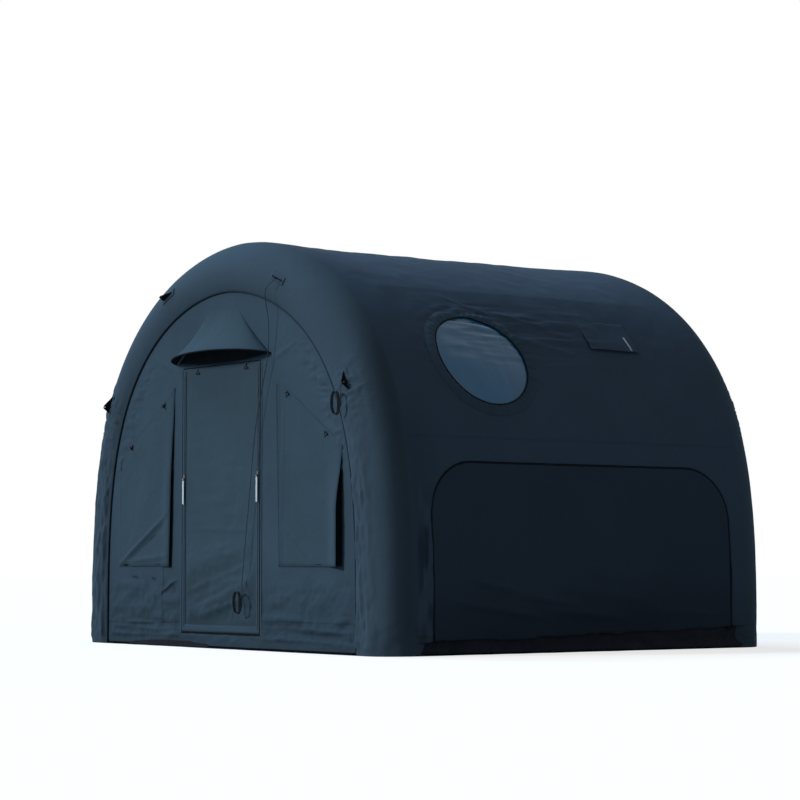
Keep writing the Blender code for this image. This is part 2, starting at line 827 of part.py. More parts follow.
def window_outline(side, grow):
    """The front window's cover outline moved outwards by grow, inner bottom corner first."""
    slope = (WINDOW_OUTER_TOP - WINDOW_INNER_TOP) / (WINDOW_OUTER_X - WINDOW_INNER_TOP_X)
    lift = grow * math.hypot(1.0, slope)
    inner_bottom = WINDOW_INNER_BOTTOM_X - grow
    inner_top = WINDOW_INNER_TOP_X - grow
    outer = WINDOW_OUTER_X + grow
    bottom = WINDOW_BOTTOM - grow
    top_inner = WINDOW_INNER_TOP + lift - grow * slope
    top_outer = WINDOW_OUTER_TOP + lift + grow * slope
    corners = [(inner_bottom, bottom), (outer, bottom), (outer, top_outer), (inner_top, top_inner)]
    return [Vector((side * x, z)) for x, z in corners]


def hood_vent(grow):
    left = HOOD_CENTRE_X - HOOD_VENT_HALF - grow
    right = HOOD_CENTRE_X + HOOD_VENT_HALF + grow
    return rectangle(left, right, HOOD_VENT_BOTTOM - grow, HOOD_VENT_TOP + grow)


def front_wall():
    left, right = door_edges()
    low = DOOR_BOTTOM - SEAM_GAP
    doorway = rectangle(left - SEAM_GAP, right + SEAM_GAP, low, DOOR_TOP + SEAM_GAP)
    openings = [doorway, hood_vent(0.0)]
    for side in (-1, 1):
        openings.append(window_outline(side, -WINDOW_ZIP_WIDTH))
    navy = cloth("front_cloth", CLOTH_FRONT)
    upright_sheet("front_wall", [wall_outline()] + openings, WALL_OUT, FABRIC, navy)


def rear_wall():
    navy = cloth("rear_cloth", CLOTH_ROOF)
    upright_sheet("rear_wall", [wall_outline()], -WALL_IN, FABRIC, navy)


def window_meshes():
    black = principled("mesh_net", MESH_BLACK, 0.9)
    behind = WALL_IN - GAP
    for side, word in ((-1, "left"), (1, "right")):
        outline = window_outline(side, WINDOW_MESH_LAP - WINDOW_ZIP_WIDTH)
        upright_sheet(word + "_window_mesh", [outline], behind, MESH_SHEET, black)
    vent_net = principled("vent_net", MESH_BLACK, 0.9)
    upright_sheet("hood_vent_mesh", [hood_vent(HOOD_VENT_LAP)], behind, MESH_SHEET, vent_net)


# Shaped cloth

def cloth_grid(name, columns, rows, shape_at, thickness, side=1.0):
    """A grid bent by a function of its two shares, thickened to one side."""
    data = bpy.data.meshes.new(name)
    shape = bmesh.new()
    bmesh.ops.create_grid(shape, x_segments=columns, y_segments=rows, size=0.5)
    for vert in shape.verts:
        vert.co = shape_at(vert.co.x + 0.5, vert.co.y + 0.5)
    shape.to_mesh(data)
    shape.free()
    return solidify(link(bpy.data.objects.new(name, data)), thickness, side)


def door_fold(x_share, z_share):
    """Slack folds that rise from the door's lower right corner and fade upwards."""
    border = DOOR_FLAT_BORDER / DOOR_WIDTH
    foot = DOOR_FLAT_BORDER / (DOOR_TOP - DOOR_BOTTOM)
    inside = ease((x_share - border) / border) * ease((1.0 - border - x_share) / border)
    fade = ease((z_share - DOOR_FOLD_FOOT_SHARE) / DOOR_FOLD_HEIGHT_SHARE)
    low = ease((z_share - foot) / foot) * (1.0 - fade)
    turns = z_share * DOOR_FOLD_COUNT - x_share * DOOR_FOLD_SLANT
    wave = math.sin(2 * math.pi * turns)
    return DOOR_FOLD_DEPTH * inside * low * wave


def door():
    left, right = door_edges()
    middle = WALL_OUT - FABRIC / 2

    def shape_at(x_share, z_share):
        x = blend(left, right, x_share)
        z = blend(DOOR_BOTTOM, DOOR_TOP, z_share)
        return Vector((x, -middle - door_fold(x_share, z_share), z))

    panel = cloth_grid("door_panel", 12, 26, shape_at, FABRIC, 0.0)
    link_material(panel, cloth("door_cloth", CLOTH_DOOR))
    toggles = []
    spots = (("door_toggle_left", DOOR_TOGGLE_LEFT_X), ("door_toggle_right", DOOR_TOGGLE_RIGHT_X))
    for name, x in spots:
        spot = Vector((x, -(WALL_OUT + GAP + TOGGLE_RADIUS), DOOR_TOP - DOOR_TOGGLE_DROP))
        toggles.append(toggle(name, spot, (1.0, 0.0, 0.0)))
    hang("door_hinge", (DOOR_CENTRE_X, -middle, DOOR_TOP), [panel] + toggles)


def toggle(name, spot, axis):
    barrel = cylinder(name, TOGGLE_RADIUS, TOGGLE_LENGTH, TOGGLE_SIDES, spot, axis)
    edge = barrel.modifiers.new("Edge", "BEVEL")
    edge.width = TOGGLE_EDGE
    edge.segments = 1
    edge.limit_method = "ANGLE"
    edge.angle_limit = math.radians(60)
    return link_material(barrel, principled("toggle_plastic", TOGGLE_BLACK, 0.45))


def u_strip(left_in, right_in, bottom_in, top, width):
    """A U-shaped outline, its inner edges given and its width outwards."""
    return [
        Vector((left_in - width, top)),
        Vector((left_in - width, bottom_in - width)),
        Vector((right_in + width, bottom_in - width)),
        Vector((right_in + width, top)),
        Vector((right_in, top)),
        Vector((right_in, bottom_in)),
        Vector((left_in, bottom_in)),
        Vector((left_in, top)),
    ]


def door_zip():
    left, right = door_edges()
    inside = DOOR_ZIP_INSIDE
    bottom = DOOR_BOTTOM + inside
    outline = u_strip(left + inside, right - inside, bottom, DOOR_ZIP_TOP, DOOR_ZIP_WIDTH)
    dark = cloth("zip_tape", MESH_BLACK)
    upright_sheet("door_zip_tape", [outline], TAPE_OUT, ZIP_TAPE, dark)


def window_zip(name, side):
    """A strip round the window's sides and bottom, under the edge of its cover."""
    outer = window_outline(side, 0.0)
    inner = window_outline(side, -WINDOW_ZIP_WIDTH)
    outline = [outer[3], outer[0], outer[1], outer[2], inner[2], inner[1], inner[0], inner[3]]
    dark = cloth("window_zip_tape", MESH_BLACK)
    upright_sheet(name, [outline], TAPE_OUT, ZIP_TAPE, dark)


def window_cover(word, side, curl, curl_at_outer):
    """A window cover that hangs from its slanted top, one upright edge standing off."""
    corners = window_outline(side, 0.0)

    def shape_at(x_share, z_share):
        low = corners[0].lerp(corners[1], x_share)
        high = corners[3].lerp(corners[2], x_share)
        spot = low.lerp(high, z_share)
        near = x_share if curl_at_outer else 1.0 - x_share
        free = ease((1.0 - z_share) / COVER_HELD_SHARE)
        lift = curl * ease(1.0 - (1.0 - near) / COVER_CURL_SHARE) ** COVER_CURL_POWER * free
        flat_top = ease((1.0 - z_share) / COVER_FLAT_SHARE - 1.0)
        belly = math.sin(math.pi * x_share) * math.sin(math.pi * z_share) * flat_top
        ripple = 0.5 + 0.5 * math.sin(2 * math.pi * (COVER_RIPPLES * x_share + z_share))
        lift += COVER_BULGE * belly * ripple
        return Vector((spot.x, -(COVER_IN + FABRIC / 2) - lift, spot.y))

    cover = cloth_grid(word + "_window_cover", 12, 10, shape_at, FABRIC, 0.0)
    link_material(cover, cloth("cover_cloth", CLOTH_FRONT))
    toggles = []
    slope = corners[2] - corners[3]
    axis = (slope.x, 0.0, slope.y)
    for place, share in enumerate(WINDOW_TOGGLE_SHARES):
        spot = corners[3].lerp(corners[2], share)
        out = COVER_IN + FABRIC + GAP + TOGGLE_RADIUS
        name = word + "_window_toggle_" + "ab"[place]
        toggles.append(toggle(name, Vector((spot.x, -out, spot.y - WINDOW_TOGGLE_DROP)), axis))
    hinge = corners[3].lerp(corners[2], 0.5)
    hang(word + "_cover_hinge", (hinge.x, -COVER_IN, hinge.y), [cover] + toggles)


# Rain hood

def hood_point(turn_share, drop_share):
    half = blend(HOOD_TOP_HALF, HOOD_BOTTOM_HALF, drop_share ** HOOD_WIDTH_POWER)
    depth = blend(HOOD_TOP_DEPTH, HOOD_BOTTOM_DEPTH, drop_share ** HOOD_DEPTH_POWER)
    angle = math.pi * turn_share
    rise = HOOD_EDGE_RISE * math.sin(angle) * drop_share ** 2
    x = HOOD_CENTRE_X + half * math.cos(angle)
    y = -(WALL_OUT + HOOD_WALL_MARGIN) - depth * math.sin(angle)
    return Vector((x, y, blend(HOOD_TOP, HOOD_BOTTOM, drop_share) + rise))


def rain_hood():
    hood = cloth_grid("rain_hood", 16, 7, hood_point, FABRIC, 0.0)
    link_material(hood, cloth("hood_cloth", CLOTH_HOOD))
    wall = as_cutter(block(
        "hood_wall_plane",
        (4 * HOOD_BOTTOM_HALF, OVERRUN, 4 * (HOOD_TOP - HOOD_BOTTOM)),
        (HOOD_CENTRE_X, -(WALL_OUT + GAP) + OVERRUN / 2, (HOOD_TOP + HOOD_BOTTOM) / 2),
    ))
    boolean(hood, wall)
    below = Vector((0.0, 0.0, -(FABRIC / 2 + GAP + HOOD_BOW_RADIUS)))
    into_wall = Vector((0.0, HOOD_BOW_RADIUS, 0.0))
    path = [hood_point(step / BOW_STEPS, 1.0) + below for step in range(BOW_STEPS + 1)]
    path = [path[0] + into_wall] + path + [path[-1] + into_wall]
    bow = to_mesh(tube("hood_bow", path, HOOD_BOW_RADIUS, 2, True))
    link_material(bow, principled("bow_rod", GROUND_BLACK, 0.4))
    boolean(bow, wall)


# Roof skin and what is set in it

def round_cutter(name, side, radius, sides=ROUND_SIDES):
    spot, along, normal = skin_place(skin_arc(ROUND_ARC_SHARE), SKIN_OUTER, side)
    spot.y = ROUND_Y
    return as_cutter(cylinder(name, radius, 4 * OVERRUN, sides, spot, normal))


def vent_box(name, side, grow):
    """A box through the skin round the vent, grown on every edge."""
    arc = skin_arc(VENT_TOP_SHARE) - VENT_HEIGHT / 2
    spot, along, normal = skin_place(arc, SKIN_OUTER, side)
    size = (VENT_HEIGHT + 2 * grow, VENT_FLAP_WIDTH + 2 * grow, 2 * OVERRUN)
    box = block(name, size, (0, 0, 0), place_matrix(spot, along, normal))
    box.location = (spot.x, VENT_Y, spot.z)
    return as_cutter(box)


def panel_outline(grow, bottom):
    """An upright outline in Y and Z with rounded top corners."""
    half = PANEL_WIDTH / 2 + grow
    radius = PANEL_CORNER + grow
    top = PANEL_TOP + grow
    corners = [Vector((-half, bottom)), Vector((half, bottom))]
    for turn, sign in ((0, 1), (1, -1)):
        for step in range(CORNER_STEPS + 1):
            angle = math.pi / 2 * (turn + step / CORNER_STEPS)
            spot = Vector((sign * (half - radius), top - radius))
            corners.append(spot + radius * Vector((math.cos(angle), math.sin(angle))))
    return corners


def panel_cutter(name, side, grow, bottom):
    outer = ARCH_HALF_SPAN + SKIN_OUTER
    depth = BEAM_DIAMETER
    sheet = flat_sheet(name, [panel_outline(grow, bottom)], depth)
    sheet.matrix_world = Matrix(((0, 0, 1), (1, 0, 0), (0, 1, 0))).to_4x4()
    sheet.location = (side * outer, 0.0, 0.0)
    return as_cutter(to_mesh(sheet))


def roof_skin():
    skin = strip("roof_skin", SKIN_INNER, FABRIC, 0, BEAM_Y + SKIN_OVERHANG)
    link_material(skin, cloth("roof_cloth", CLOTH_ROOF))
    for side, word in ((-1, "left"), (1, "right")):
        boolean(skin, round_cutter(word + "_round_hole", side, ROUND_DIAMETER / 2))
        boolean(skin, vent_box(word + "_vent_hole", side, -VENT_BORDER))
        boolean(skin, panel_cutter(word + "_panel_hole", side, SEAM_GAP, -OVERRUN))


def round_window(word, side):
    half = ROUND_DIAMETER / 2 + ROUND_RIM_WIDTH + OVERRUN
    hole = ROUND_DIAMETER / 2
    behind = SKIN_INNER - GAP - WINDOW_FILM
    pane = strip(word + "_round_pane", behind, WINDOW_FILM, side, half, ROUND_Y)
    link_material(pane, principled("window_film", FILM_BLUE, 0.12))
    boolean(pane, round_cutter(word + "_pane_edge", side, hole + ROUND_PANE_LAP), "INTERSECT")
    rim = strip(word + "_round_rim", SKIN_OUTER + GAP, FABRIC, side, half, ROUND_Y)
    link_material(rim, cloth("rim_cloth", CLOTH_ROOF))
    boolean(rim, round_cutter(word + "_rim_edge", side, hole + ROUND_RIM_WIDTH), "INTERSECT")
    boolean(rim, round_cutter(word + "_rim_hole", side, hole))


def vent(word, side):
    half = VENT_FLAP_WIDTH / 2 + OVERRUN
    net = strip(word + "_vent_mesh", SKIN_INNER - GAP - MESH_SHEET, MESH_SHEET, side, half, VENT_Y)
    link_material(net, principled("roof_vent_net", MESH_BLACK, 0.9))
    boolean(net, vent_box(word + "_net_edge", side, VENT_MESH_LAP - VENT_BORDER), "INTERSECT")
    flap = strip(word + "_vent_flap", SKIN_OUTER + GAP, FABRIC, side, half, VENT_Y)
    link_material(flap, cloth("flap_cloth", CLOTH_ROOF))
    boolean(flap, vent_box(word + "_flap_edge", side, 0.0), "INTERSECT")
    outer_face = SKIN_OUTER + GAP + FABRIC
    stay_out = outer_face + GAP
    stay = strip(word + "_vent_stay", stay_out, STAY_THICKNESS, side, STAY_WIDTH / 2, STAY_Y)
    link_material(stay, principled("stay_plastic", STAY_PALE, 0.35))
    arc = skin_arc(VENT_TOP_SHARE) - VENT_HEIGHT + VENT_BORDER + STAY_LENGTH / 2
    spot, along, normal = skin_place(arc, stay_out, side)
    size = (STAY_LENGTH, STAY_WIDTH * 2, OVERRUN)
    box = block(word + "_stay_edge", size, (0, 0, 0), place_matrix(spot, along, normal))
    box.location = (spot.x, STAY_Y, spot.z)
    boolean(stay, as_cutter(box), "INTERSECT")
    hinge, along, normal = skin_place(skin_arc(VENT_TOP_SHARE), outer_face, side)
    hinge.y = VENT_Y
    hang(word + "_flap_hinge", hinge, [flap, stay])


def side_panel(word, side):
    half = PANEL_WIDTH / 2 + OVERRUN
    panel = strip(word + "_side_panel", SKIN_INNER, FABRIC, side, half)
    link_material(panel, cloth("panel_cloth", CLOTH_PANEL))
    boolean(panel, panel_cutter(word + "_panel_edge", side, 0.0, -OVERRUN), "INTERSECT")
    tape = strip(word + "_side_zip", SKIN_INNER - GAP - ZIP_TAPE, ZIP_TAPE, side, half)
    link_material(tape, cloth("side_zip_tape", MESH_BLACK))
    tape_bottom = TRAY_HEIGHT + FABRIC
    boolean(tape, panel_cutter(word + "_tape_edge", side, PANEL_ZIP_OUTSIDE, tape_bottom), "INTERSECT")
    boolean(tape, panel_cutter(word + "_tape_hole", side, -PANEL_ZIP_INSIDE, -OVERRUN))
    foot = ARCH_HALF_SPAN + SKIN_OUTER
    hang(word + "_panel_hinge", (side * foot, 0.0, SKIN_HEM_HEIGHT), [panel])


# Zip sliders

def slider_x(side):
    left, right = door_edges()
    return left + SLIDER_INSET if side < 0 else right - SLIDER_INSET


def zip_slider(word, side):
    """A slider on the door zip with a pull tab hung on its pin."""
    x = slider_x(side)
    back = TAPE_OUT + GAP
    front = back + SLIDER_BASE_DEPTH
    base_size = (SLIDER_BASE_WIDTH, SLIDER_BASE_DEPTH, SLIDER_BASE_LENGTH)
    base = block(word + "_zip_slider", base_size, (x, -(back + front) / 2, SLIDER_HEIGHT))
    pin_z = SLIDER_HEIGHT - SLIDER_BASE_LENGTH / 2 + EAR_LENGTH / 2
    for ear_side in (-1, 1):
        ear_x = x + ear_side * (EAR_SPACING + EAR_THICKNESS) / 2
        reach = EAR_REACH + SLIDER_BASE_DEPTH / 2
        ear_y = -(front - SLIDER_BASE_DEPTH / 2 + reach / 2)
        ear = block("ear", (EAR_THICKNESS, reach, EAR_LENGTH), (ear_x, ear_y, pin_z))
        boolean(base, as_cutter(ear), "UNION")
    pin_y = -(front + PIN_REACH)
    pin_length = EAR_SPACING + EAR_THICKNESS
    pin = cylinder("pin", PIN_RADIUS, pin_length, PIN_SIDES, (x, pin_y, pin_z), (1, 0, 0))
    boolean(base, as_cutter(pin), "UNION")
    link_material(base, principled("slider_metal", TOGGLE_BLACK, 0.35, 0.6))
    hang(word + "_slider_rail", (x, -back, SLIDER_HEIGHT), [base])
    pull = zip_pull(word, x, pin_y, pin_z)
    hang(word + "_pull_hinge", (x, pin_y, pin_z), [pull])


def zip_pull(word, x, pin_y, pin_z):
    hole = PIN_RADIUS + PULL_CLEARANCE
    eye_radius = hole + PULL_EYE_WALL
    eye_width = EAR_SPACING - 2 * PULL_CLEARANCE
    neck_top = pin_z - hole - PULL_EYE_WALL / 2
    neck_bottom = pin_z - eye_radius - PULL_NECK_LENGTH
    tab_middle = neck_bottom - PULL_TAB_LENGTH / 2
    tab_size = (PULL_TAB_WIDTH, PULL_THICKNESS, PULL_TAB_LENGTH)
    pull = block(word + "_zip_pull", tab_size, (x, pin_y, tab_middle))
    neck_length = neck_top - neck_bottom + PULL_THICKNESS
    neck_z = neck_top - neck_length / 2
    neck_size = (eye_width - 2 * PULL_CLEARANCE, PULL_THICKNESS * PULL_NECK_SHARE, neck_length)
    neck = block("neck", neck_size, (x, pin_y, neck_z))
    eye = cylinder("eye", eye_radius, eye_width, PIN_SIDES, (x, pin_y, pin_z), (1, 0, 0))
    bore = cylinder("bore", hole, 2 * eye_width, PIN_SIDES, (x, pin_y, pin_z), (1, 0, 0))
    boolean(pull, as_cutter(neck), "UNION")
    boolean(pull, as_cutter(eye), "UNION")
    boolean(pull, as_cutter(bore))
    return link_material(pull, principled("pull_tab", PULL_PALE, 0.5))


# Guy anchors, line and hanks

def anchor_mesh():
    """A sewn-down patch with a three-cornered fin of webbing that has a rope hole."""
    patch_size = (ANCHOR_PATCH_LENGTH, ANCHOR_PATCH_WIDTH, WEBBING)
    patch = block("anchor_pattern", patch_size, (0.0, 0.0, GAP + WEBBING / 2))
    half = ANCHOR_FIN_LENGTH / 2
    tip = ANCHOR_TIP_WIDTH / 2
    root = WEBBING / 2
    outline = [
        Vector((-half, root)),
        Vector((half, root)),
        Vector((ANCHOR_TIP_SHIFT + tip, ANCHOR_FIN_HEIGHT)),
        Vector((ANCHOR_TIP_SHIFT - tip, ANCHOR_FIN_HEIGHT)),
    ]
    eye = Vector((ANCHOR_TIP_SHIFT, ANCHOR_FIN_HEIGHT - ANCHOR_HOLE_DROP))
    hole_radius = (ROPE_RADIUS + GAP) / math.cos(math.pi / PIN_SIDES)
    hole = []
    for step in range(PIN_SIDES):
        angle = 2 * math.pi * step / PIN_SIDES
        hole.append(eye + hole_radius * Vector((math.cos(angle), math.sin(angle))))
    fin = flat_sheet("anchor_fin", [outline, hole], WEBBING)
    fin.rotation_euler = (math.pi / 2, 0.0, 0.0)
    fin = as_cutter(to_mesh(fin))
    boolean(patch, fin, "UNION")
    patch = to_mesh(patch)
    mesh = patch.data
    mesh.transform(patch.matrix_world)
    bpy.data.objects.remove(patch, do_unlink=True)
    return link_mesh_material(mesh, principled("anchor_webbing", WEB_BLACK, 0.8))


def link_mesh_material(mesh, material):
    mesh.materials.clear()
    mesh.materials.append(material)
    return mesh


def sleeve_corner(ring, step, front):
    """A corner of the sleeve's facets, counted from the crest towards the wall side."""
    angle = step * SECTOR
    flat = centreline[ring] + outward[ring] * (BEAM_RADIUS * math.cos(angle))
    y = front * (BEAM_Y + BEAM_RADIUS * math.sin(angle))
    return Vector((flat.x, y, flat.y))


def anchor_place(share, sector, side, front):
    """The middle of the sleeve facet nearest to a place along the beam."""
    left = share * run_length(centreline) / 2
    ring = 0
    while left > (centreline[ring + 1] - centreline[ring]).length:
        left -= (centreline[ring + 1] - centreline[ring]).length
        ring += 1
    low = [sleeve_corner(ring, step, front) for step in (sector, sector + 1)]
    high = [sleeve_corner(ring + 1, step, front) for step in (sector, sector + 1)]
    middle = (low[0] + low[1] + high[0] + high[1]) / 4
    down = ((low[0] + low[1]) - (high[0] + high[1])).normalized()
    normal = down.cross(low[1] - low[0]).normalized()
    if normal.dot(middle - Vector((centreline[ring].x, front * BEAM_Y, centreline[ring].y))) < 0:
        normal = -normal
    if side < 0:
        middle.x = -middle.x
        down.x = -down.x
        normal.x = -normal.x
    return middle, down, normal


def guy_anchors():
    mesh = anchor_mesh()
    places = {}
    for front, end_word in ((-1, "front"), (1, "rear")):
        for side, side_word in ((-1, "left"), (1, "right")):
            for share, sector, level in (
                (UPPER_ANCHOR_SHARE, UPPER_ANCHOR_SECTOR, "upper"),
                (LOWER_ANCHOR_SHARE, LOWER_ANCHOR_SECTOR, "lower"),
            ):
                name = "_".join((end_word, side_word, level, "anchor"))
                spot, down, normal = anchor_place(share, sector, side, front)
                anchor = bpy.data.objects.new(name, mesh)
                parts.objects.link(anchor)
                anchor.matrix_world = place_matrix(spot, down, normal)
                places[name] = anchor.matrix_world.copy()
    return places


def smooth_route(route, count):
    """Evenly shared points on a smooth curve through the route's own points."""
    knots = [Vector(point) for point in route]
    padded = [2 * knots[0] - knots[1]] + knots + [2 * knots[-1] - knots[-2]]
    fine = []
    pieces = 24
    for place in range(1, len(padded) - 2):
        a, b, c, d = padded[place - 1:place + 3]
        for step in range(pieces):
            t = step / pieces
            fine.append(0.5 * (2 * b + (c - a) * t + (2 * a - 5 * b + 4 * c - d) * t * t
                               + (3 * b - a - 3 * c + d) * t ** 3))
    fine.append(knots[-1])
    lengths = [0.0]
    for first, second in zip(fine, fine[1:]):
        lengths.append(lengths[-1] + (second - first).length)
    points = []
    for step in range(count):
        target = lengths[-1] * step / (count - 1)
        place = next(i for i, length in enumerate(lengths) if length >= target - 1e-12)
        place = max(place, 1)
        share = (target - lengths[place - 1]) / (lengths[place] - lengths[place - 1])
        points.append(fine[place - 1].lerp(fine[place], share))
    return points


def hank_points(start):
    """Loops wound from a lead that comes straight down, one behind the other."""
    middle = start + Vector((-HANK_WIDTH / 2, 0.0, -HANK_LEAD - HANK_HEIGHT / 2))
    points = [start, start - Vector((0.0, 0.0, HANK_LEAD))]
    total = HANK_LOOPS * HANK_LOOP_POINTS
    for step in range(total + 1):
        angle = -2 * math.pi * step / HANK_LOOP_POINTS
        x = HANK_WIDTH / 2 * math.cos(angle)
        z = HANK_HEIGHT / 2 * math.sin(angle)
        y = -HANK_PITCH * step / HANK_LOOP_POINTS
        points.append(middle + Vector((x, y, z)))
    points.append(points[-1] - Vector((0.0, 0.0, HANK_TAIL)))
    return points


def report_hank_gap(name, points):
    """Print the least clear gap between turns of a hank, measured on its points."""
    least = HANK_WIDTH
    for first in range(len(points)):
        for second in range(first + HANK_LOOP_POINTS // 2, len(points)):
            least = min(least, (points[first] - points[second]).length)
    print(name, "least gap between turns in mm:", round((least - ROPE_DIAMETER) * 1000, 2))


def rope_hank(name, start, lead):
    points = hank_points(start)
    report_hank_gap(name, points)
    hank = tube(name, lead + points, ROPE_RADIUS, 1, True)
    return link_material(hank, principled("hank_rope", ROPE_GREY, 0.7))


def hole_route(anchor):
    """Two places on the axis of an anchor's rope hole, the knot's end first."""
    eye = anchor @ Vector((ANCHOR_TIP_SHIFT, 0.0, ANCHOR_FIN_HEIGHT - ANCHOR_HOLE_DROP))
    axis = anchor.to_3x3() @ Vector((0.0, 1.0, 0.0))
    return eye + axis * (WEBBING / 2 + KNOT_LENGTH), eye - axis * (WEBBING / 2 + HOLE_LEAD)


def guy_ropes(places):
    """The loose line from the upper right anchor, its hank, and the lower anchor's hank."""
    knot, below = hole_route(places["front_right_upper_anchor"])
    points = [knot] + smooth_route([below] + list(LINE_ROUTE), LINE_POINTS)
    line = tube("front_guy_line", points, ROPE_RADIUS, 2, True)
    link_material(line, principled("line_rope", ROPE_GREY, 0.7))
    rope_hank("front_guy_hank", Vector(LINE_ROUTE[-1]) - Vector((0.0, 0.0, GAP)), [])
    knot, below = hole_route(places["front_right_lower_anchor"])
    start = below - Vector((HOLE_LEAD, 0.0, LOWER_HANK_DROP))
    rope_hank("lower_guy_hank", start, [knot, below])


clear_scene()
parts = new_collection("inflatable_tent")
cutters = new_collection("cutters")
centreline = arch_centreline()
outward = arch_normals(centreline)
frame()
groundsheet()
front_wall()
rear_wall()
window_meshes()
door()
door_zip()
for side_word, side_sign in (("left", -1), ("right", 1)):
    window_zip(side_word + "_window_zip", side_sign)
    round_window(side_word, side_sign)
    vent(side_word, side_sign)
    side_panel(side_word, side_sign)
    zip_slider(side_word, side_sign)
window_cover("left", -1, COVER_CURL_LEFT, False)
window_cover("right", 1, COVER_CURL_RIGHT, True)
rain_hood()
roof_skin()
guy_ropes(guy_anchors())
bpy.context.view_layer.update()
for pivot in [obj for obj in parts.objects if obj.type == "EMPTY"]:
    place = pivot.matrix_world.translation
    print(pivot.name, [round(value, 4) for value in place])
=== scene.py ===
import math
import bmesh
import bpy
import numpy as np
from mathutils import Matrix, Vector


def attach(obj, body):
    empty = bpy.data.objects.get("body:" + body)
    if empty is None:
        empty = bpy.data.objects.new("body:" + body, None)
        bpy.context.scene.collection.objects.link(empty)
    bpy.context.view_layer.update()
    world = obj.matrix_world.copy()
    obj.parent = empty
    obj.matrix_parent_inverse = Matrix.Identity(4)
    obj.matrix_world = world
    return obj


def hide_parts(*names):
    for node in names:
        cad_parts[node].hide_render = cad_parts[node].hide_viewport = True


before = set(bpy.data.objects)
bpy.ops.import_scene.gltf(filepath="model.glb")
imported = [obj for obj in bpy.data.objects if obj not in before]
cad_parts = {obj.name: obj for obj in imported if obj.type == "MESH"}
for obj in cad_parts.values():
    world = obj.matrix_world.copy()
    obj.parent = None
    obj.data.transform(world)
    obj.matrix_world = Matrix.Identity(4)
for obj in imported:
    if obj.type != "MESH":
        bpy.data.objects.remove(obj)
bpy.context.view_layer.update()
shop = bpy.context.scene
shop.view_settings.view_transform = "Standard"
print("frame loaded")

# the tent's arch and wall planes, as the solids have them, in metres
tent = {
    "beamRadius": 0.174, "skinOut": 0.1763, "halfSpan": 1.2737, "rise": 1.9214, "footZ": 0.0023,
    "beamY": 1.071, "sidePower": 1.87, "topPower": 3.44, "wallY": 1.22169, "seamAngle": math.radians(120),
    "archSteps": 900, "stepPower": 1.72,
}
back = 2 * tent["beamY"]
bothSides = (("right", 1), ("left", -1))
bothEnds = (("front", -1), ("rear", 1))

# cloth shapes, each a sum of lumps and creases
noise = {"cells": 64, "startU": 31.7, "startV": 17.3}
creaseLook = {"fadeOut": 0.35, "fadeIn": 0.25, "sharpness": 1.4}


def smoothStep(low, high, value):
    share = np.clip((value - low) / (high - low), 0.0, 1.0)
    return share * share * (3.0 - 2.0 * share)


def span(value, edges):  # rises from the first edge to the second, falls from the third to the fourth
    rise = smoothStep(edges[0], edges[1], value)
    return rise * smoothStep(edges[3], edges[2], value) if len(edges) > 2 else rise


def bell(offset, width):
    return np.exp(-(offset / width) ** 2)


def cloudy(u, v, size, seed):  # soft lumps about as wide as size
    cells = noise["cells"]
    table = np.random.RandomState(seed).rand(cells, cells) * 2.0 - 1.0
    a, b = np.asarray(u) / size + noise["startU"], np.asarray(v) / size + noise["startV"]
    i, j = np.floor(a).astype(int), np.floor(b).astype(int)
    p, q = a - i, b - j
    p, q = p * p * (3 - 2 * p), q * q * (3 - 2 * q)
    i, j, k, m = i % cells, j % cells, (i + 1) % cells, (j + 1) % cells
    low = table[i, j] * (1 - p) + table[k, j] * p
    high = table[i, m] * (1 - p) + table[k, m] * p
    return low * (1 - q) + high * q


def rumple(u, v, layers):  # (height, scale of u, scale of v, size, seed), and "ridged" for one-way lumps
    total = 0.0
    for height, scaleU, scaleV, size, seed, *ridged in layers:
        lumps = cloudy(u * scaleU, v * scaleV, size, seed)
        total = total + height * (np.abs(lumps) if ridged else lumps)
    return total


def creases(u, v, folds):  # folds as (u, v, u, v, width, height), sharp along their middle
    total = np.zeros(np.shape(u))
    for u0, v0, u1, v1, width, height in folds:
        du, dv = u1 - u0, v1 - v0
        run = math.hypot(du, dv)
        along = ((u - u0) * du + (v - v0) * dv) / run
        across = ((u - u0) * dv - (v - v0) * du) / run
        low, high = -creaseLook["fadeOut"] * run, creaseLook["fadeIn"] * run
        fade = smoothStep(low, high, along) * smoothStep(low, high, run - along)
        total += height * fade * np.exp(-(np.abs(across) / width) ** creaseLook["sharpness"])
    return total


def archTable():
    share = np.linspace(0.0, 1.0, tent["archSteps"])
    angle = math.pi / 2 * share ** tent["stepPower"]
    x = tent["halfSpan"] * np.abs(np.cos(angle)) ** (2 / tent["sidePower"])
    z = tent["footZ"] + tent["rise"] * np.sin(angle) ** (2 / tent["topPower"])
    x[-1] = 0.0
    x, z = np.concatenate([x, -x[-2::-1]]), np.concatenate([z, z[-2::-1]])
    tx, tz = np.gradient(x), np.gradient(z)
    length = np.hypot(tx, tz)
    nx, nz = tz / length, -tx / length
    nx[0], nz[0], nx[-1], nz[-1] = 1.0, 0.0, -1.0, 0.0
    outX, outZ = x + nx * tent["skinOut"], z + nz * tent["skinOut"]
    run = np.concatenate([[0.0], np.cumsum(np.hypot(np.diff(outX), np.diff(outZ)))])
    return run + tent["footZ"], x, z, nx, nz, outZ


arch = archTable()
skinLength = arch[0][-1] + tent["footZ"]
crownArc = skinLength / 2


def archAt(u):
    return [np.interp(u, arch[0], column) for column in arch[1:5]]


def arcAtHeight(z):  # up the right side's outer line
    half = len(arch[0]) // 2
    return np.interp(z, arch[5][:half], arch[0][:half])


def heightOf(u):
    return np.interp(u, arch[0], arch[5])


def fromGround(u):
    return np.minimum(u, skinLength - u)


